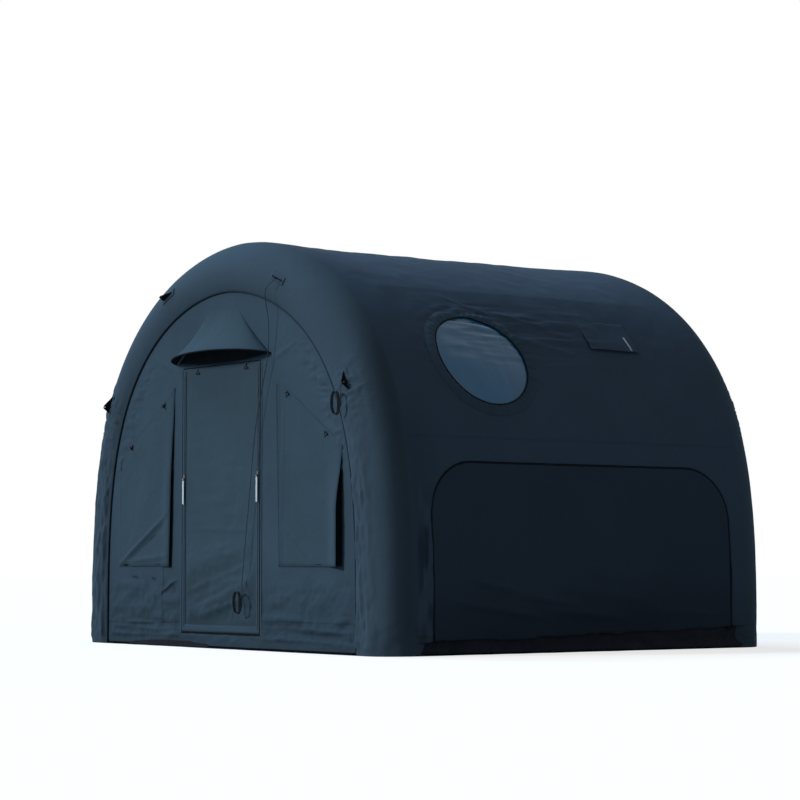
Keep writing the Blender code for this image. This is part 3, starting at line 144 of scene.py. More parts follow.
def shellPoint(u, v, lift):  # u up the skin from the right foot, v back from the front beam's crest
    x, z, nx, nz = archAt(u)
    radius = tent["skinOut"] + lift
    angle = (np.minimum(v, 0.0) + np.maximum(v - back, 0.0)) / tent["skinOut"]
    out = radius * np.cos(angle)
    y = np.clip(v, 0.0, back) - tent["beamY"] + radius * np.sin(angle)
    return np.stack([x + nx * out, y, z + nz * out], -1)


def beamPoint(u, angle, radius, front=-1):  # angle round the beam from its crest towards the outside
    x, z, nx, nz = archAt(u)
    out = radius * np.cos(angle)
    y = front * (tent["beamY"] + radius * np.sin(angle))
    return np.stack([x + nx * out, y + 0.0 * x, z + nz * out], -1)


# meshes
def polygonDistance(corners):  # how far inside a closed outline a place is
    first = np.array(corners, float)
    second = np.roll(first, -1, axis=0)
    farAway = 9.0

    def inside(a, b):
        a, b = np.asarray(a, float), np.asarray(b, float)
        near = np.full(a.shape, farAway)
        odd = np.zeros(a.shape, bool)
        for (x0, y0), (x1, y1) in zip(first, second):
            dx, dy = x1 - x0, y1 - y0
            share = np.clip(((a - x0) * dx + (b - y0) * dy) / (dx * dx + dy * dy), 0.0, 1.0)
            near = np.minimum(near, np.hypot(a - x0 - share * dx, b - y0 - share * dy))
            if dy != 0.0:
                crosses = (y0 > b) != (y1 > b)
                odd ^= crosses & (a < x0 + (b - y0) / dy * dx)
        return np.where(odd, near, -near)
    return inside


def boxInside(left, right, low, high):
    def inside(x, z):
        return np.minimum(np.minimum(x - left, right - x), np.minimum(z - low, high - z))
    return inside


def roundCorner(dx, dy, corner):  # how far inside a rounded corner, dx and dy past where its arc starts
    arc = corner - np.hypot(np.maximum(dx, 0.0), np.maximum(dy, 0.0))
    return np.where((dx > 0) & (dy > 0), arc, np.minimum(corner - dx, corner - dy))


def newObject(name, mesh, materials):
    obj = bpy.data.objects.new(name, mesh)
    shop.collection.objects.link(obj)
    for material in materials:
        mesh.materials.append(material)
    return obj


def newMesh(name, points, faces, uvs, shade):
    mesh = bpy.data.meshes.new(name)
    mesh.from_pydata([tuple(p) for p in points.tolist()], [], faces)
    mesh.uv_layers.new(name="cloth").data.foreach_set("uv", np.ravel(uvs))
    mesh.attributes.new("shade", "FLOAT", "POINT").data.foreach_set("value", shade)
    mesh.shade_smooth()
    return mesh


def removeLoose(obj, verts):
    shape = bmesh.new()
    shape.from_mesh(obj.data)
    shape.verts.ensure_lookup_table()
    bmesh.ops.delete(shape, geom=[shape.verts[i] for i in verts], context="VERTS")
    shape.to_mesh(obj.data)
    shape.free()


cutMargin = 0.06  # least share of a grid edge left by a cut


def clothPatch(name, us, vs, place, material, inside=None, closed=False, flip=False, thick=0.0012,
               shade=None):
    u, v = np.meshgrid(np.asarray(us, float), np.asarray(vs, float), indexing="ij")
    depth = inside(u, v) if inside else np.ones(u.shape)
    keep = depth > 0.0
    index = np.full(u.shape, -1)
    index[keep] = np.arange(int(keep.sum()))
    spots = [u[keep], v[keep]]
    extraU, extraV, edges, faces = [], [], {}, []
    here, there = keep[:-1], keep[1:]
    corner = [here[:, :-1], there[:, :-1], there[:, 1:], here[:, 1:]]
    full = corner[0] & corner[1] & corner[2] & corner[3]
    i, j = np.nonzero(full)
    faces += np.stack([index[i, j], index[i + 1, j], index[i + 1, j + 1], index[i, j + 1]], 1).tolist()
    count = len(spots[0])
    for i, j in zip(*np.nonzero((corner[0] | corner[1] | corner[2] | corner[3]) & ~full)):
        ring = [(i, j), (i + 1, j), (i + 1, j + 1), (i, j + 1)]
        loop = []
        for step in range(4):
            a, b = ring[step], ring[(step + 1) % 4]
            if keep[a]:
                loop.append(int(index[a]))
            if keep[a] != keep[b]:
                a, b = key = (min(a, b), max(a, b))
                if key not in edges:
                    share = min(max(depth[a] / (depth[a] - depth[b]), cutMargin), 1.0 - cutMargin)
                    extraU.append(u[a] + (u[b] - u[a]) * share)
                    extraV.append(v[a] + (v[b] - v[a]) * share)
                    edges[key] = count + len(extraU) - 1
                loop.append(edges[key])
        if len(loop) > 2:
            faces.append(loop)
    spots = [np.concatenate([spots[0], extraU]), np.concatenate([spots[1], extraV])]
    welds = {}
    if closed:  # the last row of u is the first one again
        welds = {int(a): int(b) for a, b in zip(index[-1], index[0]) if a >= 0}
    if flip:
        faces = [face[::-1] for face in faces]
    welded = [[welds.get(vert, vert) for vert in face] for face in faces] if closed else faces
    order = np.fromiter((vert for face in faces for vert in face), int)
    tone = shade(*spots) if shade else np.ones(len(spots[0]))
    uvs = np.stack([spots[0][order], spots[1][order]], 1)
    obj = newObject(name, newMesh(name, place(*spots), welded, uvs, tone), [material])
    if closed:
        obj.data.update()
        removeLoose(obj, list(welds))
    for face in faces:
        a, b = spots[0][face], spots[1][face]
    if thick:
        wall = obj.modifiers.new("wall", "SOLIDIFY")
        wall.thickness, wall.offset = thick, -1.0
    return obj


def tube(name, points, radius, sides, material, shade=1.0):
    spots = np.array(points, float)
    ahead = np.gradient(spots, axis=0)
    ahead /= np.linalg.norm(ahead, axis=1)[:, None]
    side = np.cross(ahead[0], [0.13, 0.41, 0.9])
    rings, runs = [], np.concatenate([[0.0], np.cumsum(np.linalg.norm(np.diff(spots, axis=0), axis=1))])
    for place, spot in enumerate(spots):
        side = side - ahead[place] * np.dot(side, ahead[place])
        side /= np.linalg.norm(side)
        up = np.cross(ahead[place], side)
        angle = np.linspace(0.0, 2 * math.pi, sides, endpoint=False)
        rings.append(spot + radius * (np.cos(angle)[:, None] * side + np.sin(angle)[:, None] * up))
    faces, uvs = [], []
    for place in range(len(spots) - 1):
        for step in range(sides):
            a, b = place * sides + step, place * sides + (step + 1) % sides
            faces.append((a, b, b + sides, a + sides))
            low, high = step / sides, (step + 1) / sides
            uvs += [(runs[place], low), (runs[place], high), (runs[place + 1], high), (runs[place + 1], low)]
    last = (len(spots) - 1) * sides
    faces += [tuple(range(sides))[::-1], tuple(range(last, last + sides))]
    uvs += [(0.0, 0.0)] * sides * 2
    tone = np.repeat(np.broadcast_to(shade, len(spots)), sides)
    return newObject(name, newMesh(name, np.concatenate(rings), faces, uvs, tone), [material])


# materials
inputNames = {"specular": "Specular IOR Level", "rough": "Roughness", "metal": "Metallic"}


def nodeOf(tree, kind, sockets=None, **settings):
    node = tree.nodes.new("ShaderNode" + kind)
    for key, value in settings.items():
        setattr(node, key, value)
    for key, value in (sockets or {}).items():
        if isinstance(value, bpy.types.NodeSocket):
            tree.links.new(value, node.inputs[key])
        else:
            node.inputs[key].default_value = value
    return node


def mathOf(tree, operation, first, second):
    return nodeOf(tree, "Math", {0: first, 1: second}, operation=operation).outputs[0]


def spread(tree, factor, low, high):  # low to high by a factor from 0 to 1
    return nodeOf(tree, "MapRange", {"Value": factor, "To Min": low, "To Max": high}).outputs[0]


def newMaterial(name, **constants):
    material = bpy.data.materials.new(name)
    material.use_nodes = True
    tree = material.node_tree
    tree.nodes.clear()
    shader = nodeOf(tree, "BsdfPrincipled")
    tree.links.new(shader.outputs[0], nodeOf(tree, "OutputMaterial").inputs[0])
    for key, value in constants.items():
        shader.inputs[inputNames[key]].default_value = value
    return material, tree, shader


def variedColour(tree, colour, factor, low, high):  # the colour times low to high
    mix = nodeOf(tree, "Mix", {0: 1.0, 7: spread(tree, factor, low, high)}, data_type="RGBA",
                 blend_type="MULTIPLY")
    if isinstance(colour, bpy.types.NodeSocket):
        tree.links.new(colour, mix.inputs[6])
    else:
        mix.inputs[6].default_value = (*colour, 1.0)
    return mix.outputs[2]


def bumpOf(tree, strength, distance, height, under=None, **settings):
    sockets = {"Strength": strength, "Distance": distance, "Height": height}
    if under:
        sockets["Normal"] = under
    return nodeOf(tree, "Bump", sockets, **settings).outputs[0]


def wire(tree, shader, **sources):  # colour, rough and normal of the shader
    names = {"colour": "Base Color", "rough": "Roughness", "normal": "Normal"}
    for key, source in sources.items():
        tree.links.new(source, shader.inputs[names[key]])


def bodyPlace(tree):
    return nodeOf(tree, "TexCoord").outputs["Object"]


def clothPlace(tree):
    return nodeOf(tree, "UVMap", uv_map="cloth").outputs[0]


weaveLook = {"scale": 0.314, "distortion": 0.6, "detail": 1.0, "detailScale": 0.3, "height": 0.00012}


def clothMaterial(name, colour, weave=0.0011, crinkle=0.5, rough=(0.72, 0.9), specular=0.035, fold=5.5):
    material, tree, shader = newMaterial(name, specular=specular)
    uv, body = clothPlace(tree), bodyPlace(tree)
    threads = [nodeOf(tree, "TexWave", {
        "Vector": uv, "Scale": weaveLook["scale"] / weave, "Distortion": weaveLook["distortion"],
        "Detail": weaveLook["detail"], "Detail Scale": weaveLook["detailScale"]},
        bands_direction=direction, wave_profile="SIN").outputs["Fac"] for direction in "XY"]
    crossing = mathOf(tree, "MULTIPLY", *threads)
    patches = nodeOf(tree, "TexNoise", {"Vector": body, "Scale": 1.7, "Detail": 5.0, "Roughness": 0.6})
    fine = nodeOf(tree, "TexNoise", {"Vector": body, "Scale": 26.0, "Detail": 6.0, "Roughness": 0.65})
    # the shade attribute brings dark seams, darkening towards the ground, and painted shade and painted
    # highlights
    seamsAndPaintedShade = nodeOf(tree, "Attribute", attribute_name="shade").outputs["Fac"]
    tinted = colour
    for factor, low, high in ((patches.outputs["Fac"], 0.84, 1.16), (fine.outputs["Fac"], 0.93, 1.07),
                              (crossing, 0.86, 1.2), (seamsAndPaintedShade, 0.0, 1.0)):
        tinted = variedColour(tree, tinted, factor, low, high)
    warp = nodeOf(tree, "TexNoise", {"Vector": body, "Scale": 6.5, "Detail": 7.0, "Roughness": 0.55,
                                     "Distortion": 0.7})
    soft = bumpOf(tree, crinkle, 0.012, warp.outputs["Fac"])
    sharp = nodeOf(tree, "TexNoise", {"Vector": body, "Scale": fold, "Detail": 4.0, "Roughness": 0.5,
                                      "Distortion": 0.9}, noise_type="RIDGED_MULTIFRACTAL")
    soft = bumpOf(tree, crinkle, 0.004, sharp.outputs["Fac"], soft)
    woven = bumpOf(tree, 0.5, weaveLook["height"], crossing, soft)
    wire(tree, shader, colour=tinted, rough=spread(tree, fine.outputs["Fac"], *rough), normal=woven)
    return material


def mouldedMaterial(name, colour, rough=0.45, metal=0.0, grain=380.0, specular=0.25):
    material, tree, shader = newMaterial(name, metal=metal, specular=specular)
    grains = nodeOf(tree, "TexNoise", {"Vector": bodyPlace(tree), "Scale": grain,
                                       "Detail": 4.0}).outputs["Fac"]
    wire(tree, shader, colour=variedColour(tree, colour, grains, 0.82, 1.18),
         rough=spread(tree, grains, rough - 0.1, rough + 0.15), normal=bumpOf(tree, 0.3, 0.0003, grains))
    return material


def ropeMaterial():  # braided yarns with pale reflective flecks
    material, tree, shader = newMaterial("guyRope", specular=0.1)
    uv = clothPlace(tree)
    heights = []
    for lean in (1.0, -1.0):
        turned = nodeOf(tree, "Mapping", {"Vector": uv, "Scale": (260.0, lean * 4.0, 1.0)}).outputs[0]
        heights.append(nodeOf(tree, "TexWave", {"Vector": turned, "Scale": 0.5, "Distortion": 0.4},
                              bands_direction="DIAGONAL").outputs["Fac"])
    braid = mathOf(tree, "MAXIMUM", *heights)
    stretched = nodeOf(tree, "Mapping", {"Vector": uv, "Scale": (170.0, 3.0, 1.0)}).outputs[0]
    flecks = nodeOf(tree, "TexVoronoi", {"Vector": stretched, "Scale": 1.0}).outputs["Distance"]
    wire(tree, shader, colour=variedColour(tree, (0.017, 0.023, 0.031), flecks, 3.2, 0.6),
         rough=spread(tree, flecks, 0.5, 0.85), normal=bumpOf(tree, 0.8, 0.0006, braid))
    return material


def filmMaterial():  # tinted clear film with soft waves; its blue is lightened to stand for light shining through it, a painted light
    material, tree, shader = newMaterial("windowFilm", specular=0.2)
    waves = nodeOf(tree, "TexNoise", {"Vector": bodyPlace(tree), "Scale": 7.0, "Detail": 3.0,
                                      "Distortion": 0.8}).outputs["Fac"]
    wire(tree, shader, colour=variedColour(tree, (0.016, 0.120, 0.245), waves, 0.88, 1.12),
         rough=spread(tree, waves, 0.08, 0.24), normal=bumpOf(tree, 0.25, 0.01, waves))
    return material


def netMaterial():  # fine black net, its holes darker than its threads
    material, tree, shader = newMaterial("insectNet", rough=0.9, specular=0.05)
    cells = nodeOf(tree, "TexVoronoi", {"Vector": clothPlace(tree), "Scale": 620.0, "Randomness": 0.25},
                   feature="DISTANCE_TO_EDGE").outputs["Distance"]
    wire(tree, shader, colour=variedColour(tree, (0.020, 0.024, 0.030), cells, 1.6, 0.2),
         normal=bumpOf(tree, 0.6, 0.0003, cells, invert=True))
    return material


cloth = {
    "skin": clothMaterial("tentSkinCloth", (0.040, 0.067, 0.105), crinkle=0.35),
    "wall": clothMaterial("frontWallCloth", (0.038, 0.068, 0.099), crinkle=0.45),
    "cover": clothMaterial("windowCoverCloth", (0.037, 0.066, 0.094), crinkle=0.5),
    "sleeve": clothMaterial("sleeveCloth", (0.040, 0.068, 0.099), crinkle=0.35),
    "piping": clothMaterial("pipingCloth", (0.026, 0.046, 0.066), weave=0.0007, crinkle=0.2),
    "door": clothMaterial("doorCloth", (0.037, 0.066, 0.093), crinkle=0.55),
    "hood": clothMaterial("hoodCloth", (0.038, 0.067, 0.094), crinkle=0.4),
    "panel": clothMaterial("sidePanelCloth", (0.026, 0.043, 0.068), crinkle=0.6),
    "rim": clothMaterial("windowRimCloth", (0.043, 0.074, 0.110), crinkle=0.8, fold=11.0),
    "dark": clothMaterial("darkTape", (0.008, 0.010, 0.014), weave=0.0007, crinkle=0.2),
    "ground": clothMaterial("groundsheetVinyl", (0.005, 0.008, 0.014), weave=0.0016, crinkle=0.9,
                            rough=(0.6, 0.8), specular=0.06),
    "web": clothMaterial("anchorWebbing", (0.007, 0.007, 0.009), weave=0.0018, crinkle=0.1),
}
rope, film, net = ropeMaterial(), filmMaterial(), netMaterial()
plastic = mouldedMaterial("togglePlastic", (0.015, 0.016, 0.020))
print("materials made")

# camera, where the photograph was taken from
cameraSpot = {"place": (10.770, -7.987, 0.4315), "pitch": 3.81, "turn": 53.78, "lens": 111.07, "sensor": 36.0,
              "farthest": 200.0}
camera = bpy.data.objects.new("camera", bpy.data.cameras.new("camera"))
shop.collection.objects.link(camera)
camera.location = cameraSpot["place"]
camera.rotation_euler = (math.radians(90 + cameraSpot["pitch"]), 0.0, math.radians(cameraSpot["turn"]))
camera.data.lens, camera.data.sensor_width = cameraSpot["lens"], cameraSpot["sensor"]
camera.data.clip_end = cameraSpot["farthest"]
shop.camera = camera


def fit(piece, body, slot, *nodes):
    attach(piece, body)
    if nodes:
        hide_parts(*nodes)
    return piece


def sewn(name, us, vs, place, material, body, slot, *nodes, held=None, rests=(), strip=None, **look):
    piece = fit(clothPatch(name, us, vs, place, material, **look), body, slot, *nodes)
    return piece


# guy line from the upper right anchor, with its hank, and the hank on the lower anchor
guy = {
    "diameter": 0.004, "points": 46, "hankWidth": 0.062, "hankHeight": 0.115, "loops": 4, "loopPoints": 24,
    "pitch": 0.0048, "lead": 0.012, "tail": 0.045, "hankGap": 0.0003, "curveSteps": 24,
    "upperKnot": (0.552, -1.2723, 1.8586), "upperBelow": (0.5461, -1.2763, 1.8449),
    "lowerKnot": (1.1489, -1.2723, 1.2988), "lowerBelow": (1.1357, -1.2763, 1.2918),
    "lowerDrop": (0.008, 0.0, 0.020),
    "route": ((0.489, -1.292, 1.790), (0.476, -1.262, 1.640), (0.458, -1.254, 1.480), (0.410, -1.252, 1.330),
              (0.340, -1.252, 1.090), (0.282, -1.254, 0.700), (0.236, -1.256, 0.380), (0.232, -1.257, 0.310)),
}
knotLook = {"turn": 4.6 * math.pi, "points": 40, "flat": 0.8, "long": 2.2, "thin": 0.9, "stop": 0.0032,
            "tail": 0.0030}


def smoothRoute(knots, count):
    knots = [np.array(k, float) for k in knots]
    padded = [2 * knots[0] - knots[1]] + knots + [2 * knots[-1] - knots[-2]]
    fine = []
    for a, b, c, d in zip(padded, padded[1:], padded[2:], padded[3:]):
        for t in np.arange(guy["curveSteps"]) / guy["curveSteps"]:
            fine.append(0.5 * (2 * b + (c - a) * t + (2 * a - 5 * b + 4 * c - d) * t * t
                               + (3 * b - a - 3 * c + d) * t ** 3))
    fine = np.array(fine + [knots[-1]])
    run = np.concatenate([[0.0], np.cumsum(np.linalg.norm(np.diff(fine, axis=0), axis=1))])
    want = np.linspace(0.0, run[-1], count)
    return np.stack([np.interp(want, run, fine[:, k]) for k in range(3)], 1)


def hankPoints(start):
    start = np.array(start, float)
    wide, high = guy["hankWidth"] / 2, guy["hankHeight"] / 2
    middle = start + (-wide, 0.0, -guy["lead"] - high)
    points = [start, start - (0.0, 0.0, guy["lead"])]
    for step in range(guy["loops"] * guy["loopPoints"] + 1):
        angle = -2 * math.pi * step / guy["loopPoints"]
        points.append(middle + (wide * math.cos(angle), -guy["pitch"] * step / guy["loopPoints"],
                                high * math.sin(angle)))
    points.append(points[-1] - (0.0, 0.0, guy["tail"]))
    return points


def knot(name, place, size):  # two tight turns of the rope
    angle = np.linspace(0.0, knotLook["turn"], knotLook["points"])
    spots = np.stack([np.cos(angle) * size, np.sin(angle) * size * knotLook["flat"],
                      (angle / angle[-1] - 0.5) * size * knotLook["long"]], 1)
    return fit(tube(name, spots + np.array(place), guy["diameter"] / 2 * knotLook["thin"], 8, rope), "tent",
               "guy_rope")


upperLine = ([np.array(guy["upperKnot"])]
             + list(smoothRoute([guy["upperBelow"]] + list(guy["route"]), guy["points"])))
upperLine += hankPoints(np.array(guy["route"][-1]) - (0.0, 0.0, guy["hankGap"]))[1:]
lowerStart = np.array(guy["lowerBelow"]) - guy["lowerDrop"]
lowerLine = [np.array(guy["lowerKnot"]), np.array(guy["lowerBelow"])] + hankPoints(lowerStart)
for name, points, nodes in (("guyLine", upperLine, ("front_guy_line", "front_guy_hank")),
                            ("lowerHank", lowerLine, ("lower_guy_hank",))):
    line = fit(tube(name, points, guy["diameter"] / 2, 10, rope), "tent", "guy_rope", *nodes)
    knots = [knot(name + "Stop", points[0], knotLook["stop"]),
             knot(name + "TailKnot", points[-1], knotLook["tail"])]
print("guy lines made")

# outer skin: roof and the beams' sleeves, one surface under tension
roof = {
    "hemFront": 0.060, "hemRear": 0.112, "hemRipple": ((0.006, 1, 0, 0.17, 21), (0.005, 1, 0, 0.05, 23)),
    "hemStart": 0.1, "eave": 2.0, "low": 1.05, "foot": 0.1, "ridgeSag": 0.022, "eaveSag": 0.014,
    "lowSag": 0.006, "sagRun": (0.0, 0.42), "looseRun": (-0.02, 0.25), "calm": 0.75,
    "calmArcs": (1.95, 2.35), "roundArc": 1.50, "roundV": 0.608, "roundRadius": 0.2675, "rimWidth": 0.066,
    "ventTop": 1.811, "ventHeight": 0.214, "ventV": 1.526, "ventHalf": 0.165, "ventBorder": 0.028,
    "panelHalf": 0.96, "panelTop": 0.92, "panelCorner": 0.26, "zipGap": 0.009, "edgeDip": 0.0020,
    "tightLumps": ((0.0007, 1, 1, 0.24, 7), (0.0004, 1, 1, 0.085, 8)),
    "looseLumps": ((0.0026, 1, 1, 0.24, 7), (0.0011, 1, 1, 0.085, 8),
                   (0.0012, 0.6, 2.2, 0.13, 9, "ridged")), "ringLumps": ((0.0040, 1, 0.5, 0.035, 22),),
    "ringWidth": 0.05, "liftRange": (-0.05, 0.011),
    "folds": ((1.813, 0.862, 1.732, 1.135, 0.012, 0.007), (1.639, 0.907, 1.559, 1.225, 0.014, 0.008),
              (1.470, 1.005, 1.486, 1.262, 0.016, 0.006), (1.93, 0.55, 1.80, 0.80, 0.016, 0.005),
              (1.70, 1.15, 1.66, 1.34, 0.010, 0.004), (0.736, -0.032, 0.469, 0.081, 0.014, 0.010),
              (0.341, -0.017, 0.128, 0.029, 0.014, 0.011), (1.02, 0.30, 0.95, 0.75, 0.018, 0.004),
              (1.00, 1.20, 0.96, 1.70, 0.016, 0.004), (0.55, 2.02, 0.30, 2.06, 0.014, 0.005)),
}
roofZones = (  # where the cloth is rumpled, by v and by s: above the round window, at the crown, at the leg
    ((0.30, 0.60, 1.25, 1.60), (1.42, 1.60, 1.80, 1.95),
     ((0.0052, 1, 0.10, 0.026, 15), (0.0022, 1, 0.16, 0.012, 16))),
    ((0.06, 0.25, back - 0.25, back - 0.06), (1.95, 2.15),
     ((0.0022, 0.5, 1, 0.06, 17), (0.0012, 0.4, 0.5, 0.03, 18))),
    ((-0.05, 0.02, 0.08, 0.17), (0.0, 0.1, 0.6, 0.95),
     ((0.0110, 0.20, 1, 0.030, 19, "ridged"), (0.0040, 0.5, 1, 0.016, 20, "ridged"))),
)
skinTone = {
    "seam": 0.10, "seamWidth": 0.004, "seamStart": 0.05, "hem": 0.25, "hemUp": 0.025, "hemWidth": 0.003,
    # leg entries paint shade beside the front legs; crease entries paint highlight and shade across the folds
    "leg": 0.20, "legV": 0.02, "legWidth": 0.15, "legArcs": (1.4, 0.9), "range": (0.2, 2.3),
    "creaseV": (0.0, 0.05, 0.11, 0.19), "creaseS": (0.04, 0.16, 0.5, 0.85), "creaseLean": 0.05,
    "creaseStep": 0.006, "creaseLumps": ((3.4, 0.22, 1, 0.034, 19),), "creaseRange": (-0.40, 1.3),
}
lapRun = np.array([0.008, 0.016, 0.024])  # the cloth's laps past the beams' crests


def steps(*runs):
    return np.concatenate([np.arange(*run) for run in runs])


def halfWave(s, low, high):
    return np.abs(np.sin(math.pi * np.clip((s - low) / (high - low), 0, 1)))


def offBeams(v, edges):  # 0 at both beams, 1 away from them
    return smoothStep(*edges, v) * smoothStep(*edges, back - v)


def ringDistance(s, v):  # from the round window's hole
    return np.hypot(s - roof["roundArc"], v - roof["roundV"]) - roof["roundRadius"]


def skinLift(u, v):  # how far the cloth stands in or out from a tight tube
    s = fromGround(u)
    sag = (roof["ridgeSag"] * halfWave(s, roof["eave"], crownArc)
           + roof["eaveSag"] * halfWave(s, roof["low"], roof["eave"])
           + roof["lowSag"] * halfWave(s, roof["foot"], roof["low"]))
    loose = offBeams(v, roof["looseRun"]) * (1.0 - roof["calm"] * smoothStep(*roof["calmArcs"], s))
    lift = rumple(u, v, roof["tightLumps"]) + loose * rumple(u, v, roof["looseLumps"])
    lift += creases(s, v, roof["folds"]) - offBeams(v, roof["sagRun"]) * sag
    for zoneV, zoneS, lumps in roofZones:
        lift += span(v, zoneV) * span(s, zoneS) * rumple(s, v, lumps)
    ring = ringDistance(s, v) - roof["rimWidth"]
    lift += bell(ring, roof["ringWidth"]) * rumple(s, v, roof["ringLumps"])
    return np.clip(lift, *roof["liftRange"])


def panelInside(grow):  # inside the side panel's outline, bottom left open
    half, corner, top = roof["panelHalf"] + grow, roof["panelCorner"] + grow, roof["panelTop"] + grow
    return lambda y, z: roundCorner(np.abs(y) - (half - corner), z - (top - corner), corner)


def hemHeight(v):
    share = np.clip(v / back, 0.0, 1.0)
    ripple = rumple(v, v, roof["hemRipple"]) * smoothStep(0.0, roof["hemStart"], v)
    return roof["hemFront"] + (roof["hemRear"] - roof["hemFront"]) * share + ripple


def skinInside(u, v):
    s = fromGround(u)
    z = heightOf(s)
    du = np.abs(s - roof["ventTop"] + roof["ventHeight"] / 2) - roof["ventHeight"] / 2 + roof["ventBorder"]
    dv = np.abs(v - roof["ventV"]) - roof["ventHalf"] + roof["ventBorder"]
    panel = -panelInside(roof["zipGap"])(v - tent["beamY"], z)
    return np.minimum.reduce([z - hemHeight(v), ringDistance(s, v), np.maximum(du, dv), panel])


def skinShade(u, v):  # darker seams and hem line, painted shade beside the front legs, and creases beside them painted paler on their lit side and darker on the other
    s = fromGround(u)
    seam = smoothStep(0.0, skinTone["seamStart"], v) * bell(s - roof["low"], skinTone["seamWidth"])
    tone = 1.0 - skinTone["seam"] * seam
    tone -= skinTone["hem"] * bell(heightOf(s) - hemHeight(v) - skinTone["hemUp"], skinTone["hemWidth"])
    # painted shade on the skin just behind the front legs, lower down
    leg = smoothStep(*skinTone["legArcs"], s) * bell(v - skinTone["legV"], skinTone["legWidth"])
    # painted highlight on the fold sides that face the light, painted shade on the others
    leaned, step = v - skinTone["creaseLean"] * s, skinTone["creaseStep"]
    rise = (rumple(s, leaned + step, skinTone["creaseLumps"])
            - rumple(s, leaned - step, skinTone["creaseLumps"]))
    strip = span(v, skinTone["creaseV"]) * span(s, skinTone["creaseS"])
    tone += strip * np.clip(rise, *skinTone["creaseRange"]) - skinTone["leg"] * leg
    return np.clip(tone, *skinTone["range"])


def skinPlace(u, v):  # its edges dip into the sleeves past their crests
    past = np.maximum(np.maximum(-v, v - back), 0.0)
    return shellPoint(u, v, skinLift(u, v) - roof["edgeDip"] * smoothStep(0.0, lapRun[-1], past))


rightArcs = np.unique(np.append(steps((0.04, 1.0, 0.016), (1.0, 2.1, 0.010), (2.1, crownArc, 0.016)),
                                crownArc))
roofRun = steps((0.0, 0.30, 0.012), (0.30, 1.75, 0.0105), (1.75, back - 0.006, 0.012))
acrossRoof = np.concatenate([-lapRun[::-1], roofRun, [back], back + lapRun])
for word, arcs in (("right", rightArcs), ("left", skinLength - rightArcs[::-1])):
    skin = sewn(word + "Skin", arcs, acrossRoof, skinPlace, cloth["skin"], "tent", "roof_cloth", "roof_skin",
                inside=skinInside, shade=skinShade, flip=True)

sleeve = {
    "legW": (-0.37, -0.33, -0.27, -0.16), "legS": (0.0, 0.05, 0.9, 1.35), "knotArc": 1.32, "knotWidth": 0.16,
    "knotW": (-0.36, -0.32, -0.2, -0.08), "baseS": (0.30, 0.02), "baseW": (-0.36, -0.33),
    "legLumps": ((0.0135, 0.13, 1, 0.032, 11, "ridged"), (0.0050, 0.35, 1, 0.015, 12)),
    "knotLumps": ((0.0130, 0.9, 0.5, 0.022, 13, "ridged"),), "baseLumps": ((0.0040, 1, 0.6, 0.03, 14),),
    "rightLeg": (0.0, 0.15, 1.3, 1.9), "ridge": 0.014, "ridgeW": -0.13, "ridgeWidth": 0.065,
    # pale paints a highlight and dusk paints shade down the front right leg
    "pale": 0.16, "paleW": -0.19, "paleWidth": 0.06, "dusk": 0.24, "duskW": -0.035, "duskWidth": 0.05,
    "lapEnd": 0.0241, "innerGap": 0.0003, "seamSlack": 1e-6,
    "valveZ": 0.242, "valveDip": 0.0062, "valveRadius": 0.05, "pipingOut": 0.0016, "piping": 0.0048,
}


def sleeveFolds(u, w):  # long wrinkles down the legs, beside the piping and under the lower anchors
    s = fromGround(u)
    leg = span(w, sleeve["legW"]) * span(s, sleeve["legS"])
    knotted = bell(s - sleeve["knotArc"], sleeve["knotWidth"]) * span(w, sleeve["knotW"])
    base = smoothStep(*sleeve["baseS"], s) * smoothStep(*sleeve["baseW"], w)
    return (leg * rumple(s, w, sleeve["legLumps"]) + knotted * rumple(s, w, sleeve["knotLumps"])
            + base * rumple(s, w, sleeve["baseLumps"]))


def sleeveShade(u, w):  # painted highlight on the front right leg's front corner, and painted shade where it turns towards the roof
    pale = sleeve["pale"] * bell(w - sleeve["paleW"], sleeve["paleWidth"])
    dusk = sleeve["dusk"] * bell(w - sleeve["duskW"], sleeve["duskWidth"])
    return 1.0 + span(u, sleeve["rightLeg"]) * (pale - dusk)


def sleevePlace(front):
    def place(u, w):  # w round the beam from its crest, outside first
        angle = w / tent["skinOut"]
        outer = (w <= sleeve["lapEnd"]) & (angle >= -tent["seamAngle"] - sleeve["seamSlack"])
        lift = skinLift(u, w if front < 0 else back - w) + sleeveFolds(u, w)
        lift -= roof["edgeDip"] * smoothStep(0.0, lapRun[-1], w)
        if front < 0:  # cloth drawn to a soft edge down the right leg's corner
            ridge = span(u, sleeve["rightLeg"]) * bell(w - sleeve["ridgeW"], sleeve["ridgeWidth"])
            lift += sleeve["ridge"] * ridge
        radius = np.where(outer, tent["skinOut"] + lift, tent["beamRadius"] - sleeve["innerGap"])
        if front < 0:  # drawn in where the valve sits on the left leg
            far = np.hypot(u - (skinLength - arcAtHeight(sleeve["valveZ"])), w - math.pi * tent["skinOut"])
            radius = radius - sleeve["valveDip"] * np.exp(-(far / sleeve["valveRadius"]) ** 4)
        return beamPoint(u, -angle, radius, front)
    return place


sleeveArcs = np.concatenate([[tent["footZ"]], np.arange(0.02, skinLength - 0.02, 0.0105),
                             [skinLength - tent["footZ"]]])
seamRun = tent["seamAngle"] * tent["skinOut"]
innerEnd = 2 * math.pi * tent["skinOut"] - seamRun
roundSleeve = np.concatenate([np.linspace(-seamRun, 0.0, 62), lapRun, [0.036],
                              np.linspace(0.05, innerEnd - 0.02, 22), [innerEnd - 0.0001]])
for word, front in bothEnds:
    piece = sewn(word + "Sleeve", sleeveArcs, roundSleeve, sleevePlace(front), cloth["sleeve"], "tent",
                 "sleeve_cloth", word + "_beam_sleeve", flip=front < 0, thick=0.0,
                 shade=sleeveShade if front < 0 else None)
print("skin and sleeves made")

